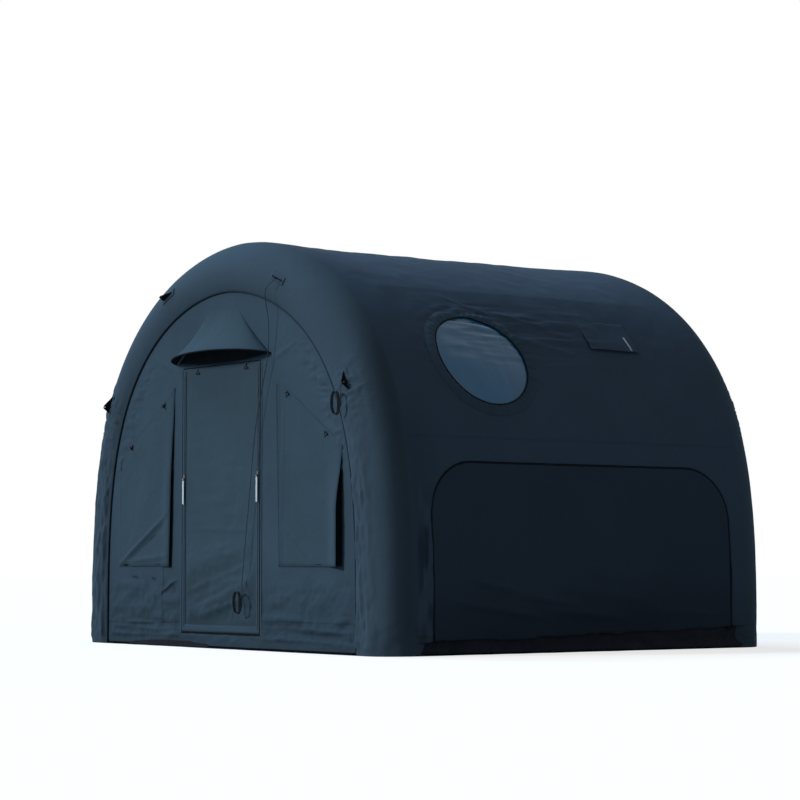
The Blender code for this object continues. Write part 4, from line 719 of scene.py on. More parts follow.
# front wall
wall = {
    "seat": 0.0895, "lap": 0.003, "bottom": 0.012, "seamGap": 0.002, "windowZip": 0.022, "outlinePoints": 130,
    "doorLeft": -0.405, "doorRight": 0.345, "doorBottom": 0.085, "doorTop": 1.46,
    "winInner": (0.484, 1.370), "winFoot": (0.515, 0.42), "winOuter": (1.066, 1.004),
    "ventLeft": -0.176, "ventRight": 0.144, "ventBottom": 1.545, "ventTop": 1.675,
    "footLeft": -0.92, "footRun": 0.74, "footLift": 0.018, "footPower": 0.4, "sunk": 0.0008,
    "edge": (0.0, 0.08), "doorEdge": (0.0, 0.05), "nearEdge": (0.20, 0.02), "nearZ": (0.80, 1.0, 1.40, 1.60),
    "hemZ": (0.20, 0.10), "lowZ": (0.42, 0.25),
    "billow": ((0.0024, 1, 1, 0.19, 31), (0.0013, 1, 1, 0.07, 32)),
    "nearLumps": ((0.0105, 0.3, 1, 0.030, 33, "ridged"), (0.0038, 0.5, 1, 0.015, 34)),
    "hemLumps": ((0.0060, 0.12, 1, 0.022, 35), (0.0026, 0.4, 1, 0.014, 36)),
    "lowLumps": ((0.0075, 0.7, 1.4, 0.06, 37), (0.0050, 1, 1, 0.035, 38, "ridged")),
    "rearBillow": ((0.012, 1, 1, 0.5, 41), (0.004, 1, 1, 0.15, 42)), "rearEdge": (0.0, 0.2),
    "folds": ((0.937, 1.227, 0.95, 1.136, 0.008, 0.003), (-0.937, 1.227, -0.936, 1.136, 0.008, 0.004),
              (0.91, 1.193, 1.075, 1.078, 0.008, 0.004), (-0.605, 0.40, -0.60, 0.16, 0.004, 0.003),
              (-0.60, 0.290, -0.47, 0.345, 0.010, 0.010), (0.47, 1.46, 0.66, 1.53, 0.012, 0.005),
              (-0.52, 1.46, -0.70, 1.54, 0.012, 0.005), (0.40, 0.30, 0.90, 0.22, 0.018, 0.004),
              (-1.0, 0.33, -0.55, 0.24, 0.018, 0.004),
              (-1.15, 0.105, -0.62, 0.088, 0.009, 0.007), (-1.12, 0.055, -0.45, 0.062, 0.009, 0.007),
              (-0.95, 0.135, -0.50, 0.130, 0.008, -0.005), (0.40, 0.118, 1.16, 0.104, 0.009, 0.006),
              (0.42, 0.062, 1.10, 0.050, 0.010, 0.007), (0.55, 0.090, 1.0, 0.082, 0.008, -0.005),
              (0.40, 0.170, 0.75, 0.158, 0.008, 0.005)),
}
wall["slope"] = (wall["winOuter"][1] - wall["winInner"][1]) / (wall["winOuter"][0] - wall["winInner"][0])
wallTone = {
    "seam": 0.45, "seamWidth": 0.0035, "seamZ": 0.145, "seamDrop": 0.03, "seamX": (0.1, -1.0),
    "crossX": -0.601, "crossZ": (0.15, 0.17, 0.41, 0.43), "mark": 0.6, "edge": 0.3, "edgeWidth": 0.006,
    "soil": 0.24, "soilZ": (0.55, 0.08), "range": (0.15, 1.0), "hoodX": -0.016, "hoodHalf": 0.445,
    "hoodLean": 1.4, "hoodZ": 1.487, "hoodTop": 1.56, "hoodFade": (0.0, 0.008), "hoodDip": 0.024,
    "hoodRun": 0.90, "hoodLow": 1.486, "hoodShadow": 0.90,
    # painted shade along fold lines
    "marks": ((-0.60, 0.283, -0.48, 0.335, 0.007, 1.3), (-0.92, 0.366, -0.86, 0.360, 0.006, 1.3),
              (-0.72, 0.358, -0.68, 0.352, 0.006, 1.3)),
}


def windowOutline(side, grow):
    (innerX, innerZ), (footX, footZ), (outerX, outerZ) = wall["winInner"], wall["winFoot"], wall["winOuter"]
    lift, lean = grow * math.hypot(1.0, wall["slope"]), grow * wall["slope"]
    return [(side * (footX - grow), footZ - grow), (side * (outerX + grow), footZ - grow),
            (side * (outerX + grow), outerZ + lift + lean), (side * (innerX - grow), innerZ + lift - lean)]


def archOutline(seat):
    low, high, count = tent["footZ"], skinLength - tent["footZ"], wall["outlinePoints"]
    arcs = np.concatenate([np.linspace(low, crownArc, count), np.linspace(crownArc, high, count)[1:]])
    x, z, nx, nz = archAt(arcs)
    return np.stack([x - nx * seat, z - nz * seat], 1)


wallEdge = polygonDistance(archOutline(wall["seat"] - wall["lap"]))
doorway = boxInside(wall["doorLeft"] - wall["seamGap"], wall["doorRight"] + wall["seamGap"],
                    wall["doorBottom"] - wall["seamGap"], wall["doorTop"] + wall["seamGap"])
hoodVent = boxInside(wall["ventLeft"], wall["ventRight"], wall["ventBottom"], wall["ventTop"])
wallHoles = ([doorway, hoodVent] + [polygonDistance(windowOutline(side, -wall["windowZip"]))
                                    for side in (1, -1)])


def wallInside(x, z):
    share = np.clip((x - wall["footLeft"]) / wall["footRun"], 0.0, 1.0)
    foot = wall["bottom"] + wall["footLift"] * np.sin(math.pi * share) ** wall["footPower"]
    return np.minimum.reduce([wallEdge(x, z), z - foot] + [-hole(x, z) for hole in wallHoles])


def wallRelief(x, z):
    inset = wallEdge(x, z)
    near = smoothStep(*wall["nearEdge"], inset) * span(z, wall["nearZ"])
    out = rumple(x, z, wall["billow"]) + creases(x, z, wall["folds"]) + near * rumple(x, z, wall["nearLumps"])
    out += smoothStep(*wall["hemZ"], z) * rumple(x, z, wall["hemLumps"])
    out += smoothStep(*wall["lowZ"], z) * rumple(x, z, wall["lowLumps"])
    out *= smoothStep(*wall["edge"], inset) * smoothStep(*wall["doorEdge"], -doorway(x, z))
    return out - wall["sunk"]


def groundTone(z):  # cloth darker towards the ground
    return 1.0 - wallTone["soil"] * smoothStep(*wallTone["soilZ"], z)


def wallShade(x, z):  # seams, painted shade in folds and along the seams to the beams, and a painted shadow inside the hood's mouth
    level = z - wallTone["seamZ"] + wallTone["seamDrop"] * smoothStep(*wallTone["seamX"], x)
    cross = span(z, wallTone["crossZ"]) * bell(x - wallTone["crossX"], wallTone["seamWidth"])
    tone = 1.0 - wallTone["seam"] * (bell(level, wallTone["seamWidth"]) + cross)
    # painted shade along fold lines
    tone -= wallTone["mark"] * creases(x, z, wallTone["marks"])
    # painted shade in the groove along the seam to the beams
    tone = np.clip(tone - wallTone["edge"] * bell(wallEdge(x, z), wallTone["edgeWidth"]), *wallTone["range"])
    aside = x - wallTone["hoodX"]
    half = wallTone["hoodHalf"] - wallTone["hoodLean"] * np.maximum(z - wallTone["hoodZ"], 0.0)
    dip = wallTone["hoodDip"] * np.cos(math.pi * np.clip(aside / wallTone["hoodRun"], -0.5, 0.5))
    under = smoothStep(*wallTone["hoodFade"], z - wallTone["hoodLow"] + dip)
    under *= smoothStep(*wallTone["hoodFade"], half - np.abs(aside))
    return tone * groundTone(z) * (1.0 - wallTone["hoodShadow"] * under * (z < wallTone["hoodTop"]))


def flatPlace(out, relief):
    return lambda x, z: np.stack([x, -(out + relief(x, z)), z], -1)


def rearPlace(x, z):
    billow = rumple(x, z, wall["rearBillow"]) * smoothStep(*wall["rearEdge"], wallEdge(x, z))
    return np.stack([x, tent["wallY"] + billow, z], -1)


frontWall = sewn("frontWall", np.arange(-1.20, 1.2001, 0.0095), np.arange(0.005, 2.02, 0.0075),
                 flatPlace(tent["wallY"], wallRelief), cloth["wall"], "tent", "front_cloth", "front_wall",
                 inside=wallInside, shade=wallShade)
rearWall = sewn("rearWall", np.arange(-1.20, 1.2001, 0.02), np.arange(0.005, 2.02, 0.02), rearPlace,
                cloth["wall"], "tent", "rear_cloth", "rear_wall", flip=True,
                inside=lambda x, z: np.minimum(wallEdge(x, z), z - wall["bottom"]))
for piece, word in ((frontWall, "front"), (rearWall, "rear")):
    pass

for word, front in bothEnds:
    arcs = np.linspace(tent["footZ"] + 0.004, skinLength - tent["footZ"] - 0.004, 420)
    line = beamPoint(arcs, tent["seamAngle"], tent["skinOut"] + sleeve["pipingOut"], front)
    # the piping is painted darker towards the left, a painted shade
    fit(tube(word + "Piping", line, sleeve["piping"], 8, cloth["piping"],
             shade=0.30 + 0.60 * smoothStep(-0.7, 0.9, line[:, 0])), "tent", "sleeve_cloth")
print("walls made")

# rows of stitches and zip teeth, laid along seams
rowStart = {"Spacing": 0.006, "Length": 0.004, "Width": 0.0008, "Height": 0.0006}
unitRadius = 0.5


def rowTree(name, rounded):
    tree = bpy.data.node_groups.new(name, "GeometryNodeTree")

    def socket(label, kind, way="INPUT"):
        return tree.interface.new_socket(name=label, in_out=way, socket_type="NodeSocket" + kind)

    def node(kind, sources=(), **settings):
        made = tree.nodes.new(kind)
        for key, value in settings.items():
            setattr(made, key, value)
        for key, source in dict(sources).items():
            tree.links.new(source, made.inputs[key])
        return made
    socket("Geometry", "Geometry")
    for label, start in rowStart.items():
        socket(label, "Float").default_value = start
    socket("Finish", "Material")
    socket("Geometry", "Geometry", "OUTPUT")
    given = node("NodeGroupInput").outputs
    curve = node("GeometryNodeMeshToCurve", {"Mesh": given["Geometry"]}).outputs["Curve"]
    spaced = node("GeometryNodeResampleCurve", {"Curve": curve, "Length": given["Spacing"]}, mode="LENGTH")
    unit = node("GeometryNodeMeshIcoSphere" if rounded else "GeometryNodeMeshCube")
    if rounded:
        unit.inputs["Radius"].default_value = unitRadius
    size = node("ShaderNodeCombineXYZ", {"X": given["Length"], "Y": given["Width"], "Z": given["Height"]})
    scaled = node("GeometryNodeTransform", {"Geometry": unit.outputs["Mesh"], "Scale": size.outputs[0]})
    outward = node("GeometryNodeInputNamedAttribute", data_type="FLOAT_VECTOR")
    outward.inputs["Name"].default_value = "outward"
    axes = {"Primary Axis": outward.outputs["Attribute"],
            "Secondary Axis": node("GeometryNodeInputTangent").outputs[0]}
    turn = node("FunctionNodeAxesToRotation", axes, primary_axis="Z", secondary_axis="X")
    placed = node("GeometryNodeInstanceOnPoints", {"Points": spaced.outputs[0], "Instance": scaled.outputs[0],
                                                   "Rotation": turn.outputs[0]})
    real = node("GeometryNodeRealizeInstances", {0: placed.outputs[0]})
    finish = node("GeometryNodeSetMaterial", {"Geometry": real.outputs[0], "Material": given["Finish"]})
    node("NodeGroupOutput", {0: finish.outputs[0]})
    return tree


rowKinds = {
    "stitch": {"Spacing": 0.0065, "Length": 0.0048, "Width": 0.0010, "Height": 0.0007,
               "tree": rowTree("stitchRow", True),
               "Finish": mouldedMaterial("seamThread", (0.036, 0.060, 0.090), 0.7, specular=0.05)},
    "tooth": {"Spacing": 0.0036, "Length": 0.0021, "Width": 0.0050, "Height": 0.0014,
              "tree": rowTree("zipTeeth", False),
              "Finish": mouldedMaterial("zipTooth", (0.008, 0.011, 0.016), 0.6, specular=0.05)},
}


def seamRows(name, kind, lines, body, slot):  # lines as (spots, outward directions)
    spots, outs, links = [], [], []
    for line, out in lines:
        line = np.array(line, float)
        start = sum(len(part) for part in spots)
        links += [(start + k, start + k + 1) for k in range(len(line) - 1)]
        spots.append(line)
        outs.append(np.broadcast_to(np.array(out, float), line.shape))
    mesh = bpy.data.meshes.new(name)
    mesh.from_pydata([tuple(p) for p in np.concatenate(spots).tolist()], links, [])
    outward = mesh.attributes.new("outward", "FLOAT_VECTOR", "POINT")
    outward.data.foreach_set("vector", np.concatenate(outs).ravel())
    obj = newObject(name, mesh, [])
    values = rowKinds[kind]
    grow = obj.modifiers.new("row", "NODES")
    grow.node_group = values["tree"]
    for item in values["tree"].interface.items_tree:
        if item.in_out == "INPUT" and item.name in values:
            grow[item.identifier] = values[item.name]
    made = bpy.data.meshes.new_from_object(obj.evaluated_get(bpy.context.evaluated_depsgraph_get()))
    obj.modifiers.remove(grow)
    obj.data = made
    return fit(obj, body, slot)


def tangentOut(spots, place, step=0.004):  # outward directions of a surface under a line of (u, v)
    u, v = spots
    out = np.cross(place(u, v + step) - place(u, v - step), place(u + step, v) - place(u - step, v))
    return out / np.linalg.norm(out, axis=1)[:, None]


# door
door = {
    "foldDepth": 0.011, "foldCount": 5.2, "foldSlant": 0.8, "sway": ((1.1, 1, 1, 0.3, 51),),
    "border": (0.035, 0.095), "foot": (0.03, 0.09), "slack": (0.05, 0.47), "setBack": 0.0006,
    "topGap": 0.002, "lumps": ((0.0022, 1, 1, 0.16, 52), (0.0014, 0.5, 2.0, 0.07, 53)),
    "slackLumps": ((0.0024, 0.6, 1, 0.018, 56),), "lean": (0.5, 0.35, -0.15),
    "leanLumps": ((0.0060, 1, 1, 0.045, 54, "ridged"),),
    "folds": ((-0.30, 0.62, 0.26, 0.60, 0.012, 0.003), (-0.33, 0.30, 0.20, 0.42, 0.016, 0.007),
              (-0.30, 0.22, 0.12, 0.33, 0.014, -0.007), (-0.22, 0.16, 0.22, 0.27, 0.014, 0.009),
              (0.325, 0.12, 0.16, 0.30, 0.010, 0.007), (0.325, 0.12, 0.22, 0.36, 0.010, 0.006),
              (0.30, 0.10, 0.08, 0.20, 0.010, 0.009), (-0.37, 0.28, -0.24, 0.12, 0.010, 0.009),
              (0.06, 0.10, 0.10, 0.24, 0.008, 0.008)),
}
zipLook = {
    "left": -0.385, "right": 0.325, "bottom": 0.105, "top": 1.445, "out": 0.0014, "tapeOut": 0.0005,
    "teethUp": 0.0006, "tape": (0.013, 0.046), "flap": (0.015, 0.050),
    "slits": ((0.0035, 0.0055), (-0.030, 0.0045)), "slit": (0.0035, 0.0105), "aboveDoor": 3.0,
    "tapeWidth": 0.05, "thick": 0.0005, "lumps": ((0.0005, 1, 1, 0.06, 55),),
}
ahead = (0, -1, 0)  # out of the front wall


def doorFolds(x, z):
    xShare = (x - wall["doorLeft"]) / (wall["doorRight"] - wall["doorLeft"])
    zShare = (z - wall["doorBottom"]) / (wall["doorTop"] - wall["doorBottom"])
    free = (smoothStep(*door["border"], x - wall["doorLeft"])
            * smoothStep(*door["border"], wall["doorRight"] - x))
    free *= smoothStep(*door["foot"], z - wall["doorBottom"])
    turns = zShare * door["foldCount"] - xShare * door["foldSlant"]
    slack = door["foldDepth"] * np.sin(2 * math.pi * turns + rumple(x, z, door["sway"]))
    leanX, rise, leanZ = door["lean"]
    slack += rumple(x, z, door["slackLumps"]) + rumple(x * leanX + z * rise, z + x * leanZ, door["leanLumps"])
    lift = (1.0 - smoothStep(*door["slack"], zShare)) * slack
    return free * (lift + rumple(x, z, door["lumps"]) + creases(x, z, door["folds"]))


sewn("doorPanel", np.linspace(wall["doorLeft"], wall["doorRight"], 76),
     np.linspace(wall["doorBottom"], wall["doorTop"] - door["topGap"], 138),
     flatPlace(tent["wallY"] - door["setBack"], doorFolds), cloth["door"], "door", "door_cloth", "door_panel",
     held="hung", rests=["frontWall"], shade=lambda x, z: groundTone(z))


def zipRing(grow, width):  # a band along the door's sides and foot
    left, right, bottom = wall["doorLeft"] - grow, wall["doorRight"] + grow, wall["doorBottom"] - grow
    outer = boxInside(left, right, bottom, zipLook["top"])
    inner = boxInside(left + width, right - width, bottom + width, zipLook["aboveDoor"])
    return lambda x, z: np.minimum(outer(x, z), -inner(x, z))


def flapInside(x, z):
    leftGaps = np.maximum(*[zipRing(*slit)(x, z) for slit in zipLook["slits"]])
    gaps = np.where(x < 0, leftGaps, zipRing(*zipLook["slit"])(x, z))
    return np.minimum(zipRing(*zipLook["flap"])(x, z), -gaps)


for name, lift, material, inside in (("doorZipTape", zipLook["tapeOut"], cloth["dark"],
                                      zipRing(*zipLook["tape"])),
                                     ("doorZipFlap", zipLook["out"], cloth["wall"], flapInside)):
    sewn(name, np.arange(-0.4205, 0.362, 0.0025), np.arange(0.0695, 1.447, 0.0125),
         flatPlace(tent["wallY"], lambda x, z: lift + rumple(x, z, zipLook["lumps"])), material, "tent",
         "zip_tape", "door_zip_tape", held="stretched", rests=["frontWall"], strip=zipLook["tapeWidth"],
         inside=inside, thick=zipLook["thick"])
teethY = -(tent["wallY"] + zipLook["out"] + zipLook["teethUp"])
seamRows("doorZipTeeth", "tooth",
         [([(x, teethY, z) for z in np.arange(zipLook["bottom"], zipLook["top"], 0.02)], ahead)
          for x in (zipLook["left"], zipLook["right"])], "tent", "zip_tape")
print("door made")

# window covers, their zips and nets
cover = {
    "curlRight": 0.036, "curlLeft": 0.014, "out": 0.0030, "rise": 0.0010, "bulge": 0.004, "curlShare": 0.28,
    "held": 0.55, "power": 1.5, "width": 0.58, "height": 0.80, "thick": 0.0005, "topRun": 0.10,
    "bellyRun": (0.12, 0.24), "waves": 1.5, "softTop": 0.12, "softSides": 0.05,
    "lumps": ((0.0014, 1, 1, 0.13, 61), (0.0008, 1, 1, 0.05, 62)),
    "foldsLeft": ((-0.605, 0.67, -1.016, 0.448, 0.010, 0.013), (-0.60, 0.64, -0.98, 0.44, 0.020, -0.008),
                  (-0.986, 0.446, -0.574, 0.475, 0.012, 0.009)),
    "foldsRight": ((0.60, 0.60, 0.80, 0.45, 0.012, 0.006), (0.91, 1.10, 1.02, 1.00, 0.010, 0.005),
                   (0.56, 1.20, 0.54, 0.50, 0.008, 0.004)),
    "seams": (0.011, 0.034), "seam": 0.5, "seamWidth": 0.004, "topRight": 0.0, "topLeft": 0.35,
    "topWidth": 0.005, "low": 0.3, "lowSeam": 0.012, "tones": (0.2, 1.0), "hems": (0.008, 0.014),
    "stitchIn": 0.0003,
}
windowLook = {
    "zipOut": 0.0011, "zipThick": 0.0006, "zipTop": 0.02, "teeth": -0.011, "teethOut": 0.0019, "teethEnds": 2,
    "net": -0.010, "netBack": 0.0035, "netLumps": ((0.0005, 1, 1, 0.1, 63),),
}


def coverPlace(word, side):
    corners = np.array(windowOutline(side, 0.0))

    def place(u, v):
        x, z = u / cover["width"], v / cover["height"]
        low = corners[0] + (corners[1] - corners[0]) * x[:, None]
        high = corners[3] + (corners[2] - corners[3]) * x[:, None]
        spot = low + (high - low) * z[:, None]
        curl = smoothStep(1.0 - cover["curlShare"], 1.0, x if side > 0 else 1.0 - x) ** cover["power"]
        lift = cover["curl" + word] * curl * smoothStep(0.0, cover["held"], 1.0 - z)
        lift += cover["rise"] + (cover["out"] - cover["rise"]) * smoothStep(0.0, cover["topRun"], 1.0 - z)
        belly = np.sin(math.pi * x) * np.sin(math.pi * z) * smoothStep(*cover["bellyRun"], 1.0 - z)
        lift += cover["bulge"] * belly * (0.5 + 0.5 * np.sin(2 * math.pi * (cover["waves"] * x + z)))
        soft = smoothStep(0.0, cover["softSides"], x) * smoothStep(0.0, cover["softSides"], 1 - x)
        folds = creases(spot[:, 0], spot[:, 1], cover["folds" + word])
        lift += (soft * smoothStep(0.0, cover["softTop"], 1.0 - z)
                 * (rumple(u + side, v, cover["lumps"]) + folds))
        return np.stack([spot[:, 0], -(tent["wallY"] + lift), spot[:, 1]], -1)
    return place


# the top edge is painted darker on the left cover only, a painted shade; the other lines are seams
def coverShade(u, v, top):
    tone = 1.0 - top * bell(cover["height"] - v, cover["topWidth"])
    tone -= cover["low"] * bell(v - cover["lowSeam"], cover["seamWidth"])
    for inset in cover["seams"]:
        tone -= cover["seam"] * bell(u - inset, cover["seamWidth"])
    return np.clip(tone, *cover["tones"])


for word, side in bothSides:
    place, wide, high = coverPlace(word.title(), side), cover["width"], cover["height"]
    sewn(word + "WindowCover", np.linspace(0, wide, 60), np.linspace(0, high, 84), place, cloth["cover"],
         word + "_cover", "cover_cloth", word + "_window_cover", held="hung", rests=["frontWall"],
         flip=side < 0, thick=cover["thick"],
         shade=lambda u, v: coverShade(u, v, cover["top" + word.title()]))
    hem = []
    for inset in cover["hems"]:
        us, vs = np.linspace(inset, wide - inset, 60), np.linspace(inset, high - inset, 70)
        sides = ((us, inset + 0 * us), (inset + 0 * vs, vs), (wide - inset + 0 * vs, vs),
                 (us, high - inset + 0 * us))
        hem += [(place(u, v) - (0.0, cover["stitchIn"], 0.0), ahead) for u, v in sides]
    seamRows(word + "CoverStitches", "stitch", hem, word + "_cover", "cover_cloth")
    outer = polygonDistance(windowOutline(side, 0.0))
    hole = polygonDistance(windowOutline(side, -wall["windowZip"]))
    grid = np.arange(0.45, 1.09, 0.0055) if side > 0 else np.arange(-1.09, -0.449, 0.0055)

    def tapeInside(x, z):  # the zip leaves the window's top seam free
        innerX, innerZ = wall["winInner"]
        below = innerZ + wall["slope"] * (side * x - innerX) - windowLook["zipTop"] - z
        return np.minimum(np.minimum(outer(x, z), -hole(x, z)), below)
    sewn(word + "WindowZip", grid, np.arange(0.41, 1.38, 0.0055),
         flatPlace(tent["wallY"], lambda x, z: windowLook["zipOut"] + 0.0 * x), cloth["dark"], "tent",
         "zip_tape", word + "_window_zip", held="stretched", rests=["frontWall"], strip=wall["windowZip"],
         inside=tapeInside, thick=windowLook["zipThick"])
    ring = np.array(windowOutline(side, windowLook["teeth"]))[[3, 0, 1, 2]]
    line = [a + (b - a) * t for a, b in zip(ring, ring[1:]) for t in np.linspace(0, 1, 30)[:-1]]
    teeth = [(x, -(tent["wallY"] + windowLook["teethOut"]), z)
             for x, z in line[windowLook["teethEnds"]:-windowLook["teethEnds"]]]
    seamRows(word + "WindowZipTeeth", "tooth", [(teeth, ahead)], "tent", "zip_tape")
    sewn(word + "WindowNet", grid, np.arange(0.41, 1.38, 0.012),
         flatPlace(tent["wallY"] - windowLook["netBack"],
                   lambda x, z: rumple(x, z, windowLook["netLumps"])), net, "tent", "mesh_net",
         word + "_window_mesh", held="stretched", rests=["frontWall"],
         inside=polygonDistance(windowOutline(side, windowLook["net"])), thick=0.0)
sewn("hoodVentNet", np.arange(-0.20, 0.169, 0.012), np.arange(1.52, 1.70, 0.012),
     flatPlace(tent["wallY"] - windowLook["netBack"], lambda x, z: 0.0 * x), net, "tent", "mesh_net",
     "hood_vent_mesh", held="stretched", rests=["frontWall"], thick=0.0)
print("window covers made")

# rain hood
hood = {"centre": -0.016, "low": 1.487, "high": 1.775, "topHalf": 0.13, "lowHalf": 0.455,
        "topDepth": -0.003, "lowDepth": 0.135, "edgeRise": 0.034, "widthPower": 1.35, "depthPower": 1.7,
        "width": 0.98, "drop": 0.33, "seat": 0.0005,
        "lumps": ((0.003, 1, 1, 0.14, 71), (0.0015, 2, 1, 0.06, 72)), "lip": 0.004, "lipFrom": 0.94,
        "thick": 0.0009, "endGap": 0.004, "binding": 0.0042, "bindingUp": 0.001,
        "stitchUps": (0.014, 0.020), "stitchOut": 0.0004}


def hoodPlace(u, v):  # u round the hood from its right end, v down it
    angle, drop = math.pi * u / hood["width"], v / hood["drop"]
    half = hood["topHalf"] + (hood["lowHalf"] - hood["topHalf"]) * drop ** hood["widthPower"]
    depth = hood["topDepth"] + (hood["lowDepth"] - hood["topDepth"]) * drop ** hood["depthPower"]
    soft = rumple(u, v, hood["lumps"]) + hood["lip"] * smoothStep(hood["lipFrom"], 1.0, drop)
    soft *= np.sin(angle)
    rise = hood["edgeRise"] * np.sin(angle) * drop ** 2
    x = hood["centre"] + (half + soft) * np.cos(angle)
    y = -(tent["wallY"] + hood["seat"]) - (depth + soft) * np.sin(angle)
    return np.stack([x, y, hood["high"] + (hood["low"] - hood["high"]) * drop + rise], -1)


hoodCloth = sewn("rainHood", np.linspace(0, hood["width"], 90), np.linspace(0, hood["drop"], 40), hoodPlace,
                 cloth["hood"], "tent", "hood_cloth", "rain_hood", thick=hood["thick"])
# the hood's inner faces take the near-black cloth, a painted shade under the hood
hoodCloth.data.materials.append(cloth["dark"])
hoodCloth.modifiers["wall"].material_offset = 1
around = np.linspace(hood["endGap"], hood["width"] - hood["endGap"], 110)
binding = tube("hoodBinding", hoodPlace(around, hood["drop"] + 0 * around) + (0, 0, hood["bindingUp"]),
               hood["binding"], 8, cloth["dark"])
fit(binding, "tent", "hood_cloth", "hood_bow")
lines = []
for up in hood["stitchUps"]:
    spots = (around, hood["drop"] - up + 0 * around)
    out = -tangentOut(spots, hoodPlace)
    lines.append((hoodPlace(*spots) + out * hood["stitchOut"], out))
seamRows("hoodStitches", "stitch", lines, "tent", "hood_cloth")
print("hood made")

# round windows, vents and side panels, right side first and mirrored for the left
rim = {
    "start": 0.001, "puckers": 50, "sway": ((2.2, 3, 0, 1.0, 81),), "puckerBase": 0.6,
    "puckerLumps": ((0.4, 2, 9, 0.7, 82),), "swell": (0.02, 0.98), "seat": 0.0004, "high": 0.0065,
    "pucker": 0.0040, "outward": 1.15, "lumps": ((0.0030, 1, 0.6, 0.035, 88),), "tone": 0.82, "lit": 0.26,
    "litTurn": 0.7, "toneLumps": ((0.05, 1, 0.5, 0.03, 87),), "thick": 0.0006, "piping": 0.0032,
    "pipingUp": 0.0022, "stitchIn": 0.004,
}
pane = {"lap": 0.02, "bulge": 0.010, "wave": 0.0010, "waves": (22, 3), "under": 0.0026, "half": 0.30,
        "thick": 0.0006}
flap = {
    "open": 0.013, "openFrom": 0.15, "lip": 0.0012, "lipEnd": 0.08, "seat": 0.0002, "curl": 0.004,
    "lumps": ((0.0008, 1, 1, 0.06, 83),), "seam": 0.35, "seamWidth": 0.004, "thick": 0.0005, "stayV": 1.636,
    "stayHalf": 0.0055, "stayFrom": 0.005, "stayTo": 0.105, "stayUp": 0.0024, "stayThick": 0.0012,
    "netIn": 0.01, "netUnder": 0.0025,
}
panelLook = {
    "rim": 0.10, "lumps": ((0.003, 1, 1, 0.28, 84), (0.0018, 2, 0.7, 0.12, 85)), "dip": 0.004,
    "under": 0.0006, "share": 0.6, "soil": 0.22, "soilZ": (0.42, 0.10),
    "toneLumps": ((0.10, 1, 1, 0.3, 86),), "cut": -0.002, "tape": (0.016, -0.020), "tapeFoot": 0.10,
    "tapeShare": 0.8, "tapeUnder": 0.0040, "tapeWidth": 0.036, "thick": 0.0009, "lineFoot": 0.11,
    "lineStep": 0.02, "teeth": 0.003, "teethUnder": 0.0022, "stitches": -0.012,
    "folds": ((0.353, 0.353, 0.308, 0.60, 0.016, 0.014), (0.273, 0.701, 0.235, 0.975, 0.018, 0.016),
              (0.251, 0.254, 0.182, 0.734, 0.018, 0.015), (0.21, 0.80, 0.17, 1.25, 0.020, 0.012),
              (0.30, 1.05, 0.25, 1.45, 0.018, 0.006), (0.20, 1.55, 0.17, 1.95, 0.016, 0.006),
              (0.60, 0.30, 0.35, 0.26, 0.014, 0.004)),
}
stitchLook = {"out": 0.0004, "hemOut": 0.0005, "beside": (0.014, 0.020), "hem": (0.022, 0.028),
              "seam": (-0.004, 0.004), "ends": 0.12, "corner": (0.02, 0.095)}
stayStrip = mouldedMaterial("stayStrip", (0.20, 0.27, 0.30), 0.4)
ventLow = roof["ventTop"] - roof["ventHeight"]


def mirrored(place, sign):
    return lambda u, v: place(u, v) * (sign, 1.0, 1.0)


def onSkin(share=1.0, out=0.0):  # on a share of the skin's folds, out from it
    return lambda u, v: shellPoint(u, v, skinLift(u, v) * share + out)


def roundSpot(a, r):
    return roof["roundArc"] + r * np.cos(a), roof["roundV"] + r * np.sin(a)


def rimPlace(w, r):  # w round the ring at the hole's edge
    a = w / roof["roundRadius"]
    share = (r - roof["roundRadius"]) / roof["rimWidth"]
    pucker = np.sin(rim["puckers"] * a + rumple(a, a, rim["sway"]))
    pucker *= rim["puckerBase"] + rumple(a, r, rim["puckerLumps"])
    swell = np.sin(math.pi * np.clip(share, *rim["swell"]))
    lift = rim["high"] + rim["pucker"] * pucker * (rim["outward"] - share) + rumple(w, r, rim["lumps"])
    return onSkin(out=rim["seat"] + lift * swell)(*roundSpot(a, r))


def rimShade(w, r):  # painted highlight towards the roof's front, with random tone
    lit = np.clip(np.cos(w / roof["roundRadius"] + rim["litTurn"]), 0.0, 1.0)
    return rim["tone"] + rim["lit"] * lit + rumple(w, r, rim["toneLumps"])


def fromRound(u, v):  # from the round window's middle
    return np.hypot(u - roof["roundArc"], v - roof["roundV"])


def panePlace(u, v):
    dome = np.clip(1.0 - (fromRound(u, v) / roof["roundRadius"]) ** 2, 0.0, 1.0)
    wave = pane["wave"] * np.sin(pane["waves"][0] * u + pane["waves"][1] * v) * dome ** 0.5
    return onSkin(out=pane["bulge"] * dome + wave - pane["under"])(u, v)


def paneInside(u, v):
    return roof["roundRadius"] + pane["lap"] - fromRound(u, v)


def flapPlace(u, v):
    down = (roof["ventTop"] - u) / roof["ventHeight"]
    gap = flap["open"] * smoothStep(flap["openFrom"], 1.0, down)
    gap += flap["lip"] * smoothStep(0.0, flap["lipEnd"], down)
    curl = flap["curl"] * np.abs((v - roof["ventV"]) / roof["ventHalf"]) ** 3 * down
    return onSkin(out=gap + flap["seat"] - curl + rumple(u, v, flap["lumps"]))(u, v)


def flapShade(u, v):  # painted shade along its edges
    seam = np.minimum(roof["ventHalf"] - np.abs(v - roof["ventV"]), roof["ventTop"] - u)
    return 1.0 - flap["seam"] * bell(seam, flap["seamWidth"])


def stayPlace(u, v):
    return flapPlace(u, v) + shellPoint(u, v, flap["stayUp"]) - shellPoint(u, v, 0.0)


def panelPlace(u, v):
    inner = smoothStep(0.0, panelLook["rim"], panelInside(0.0)(v - tent["beamY"], heightOf(u)))
    lift = rumple(u, v, panelLook["lumps"]) + creases(u, v, panelLook["folds"]) - panelLook["dip"]
    return onSkin(panelLook["share"], inner * lift - panelLook["under"])(u, v)


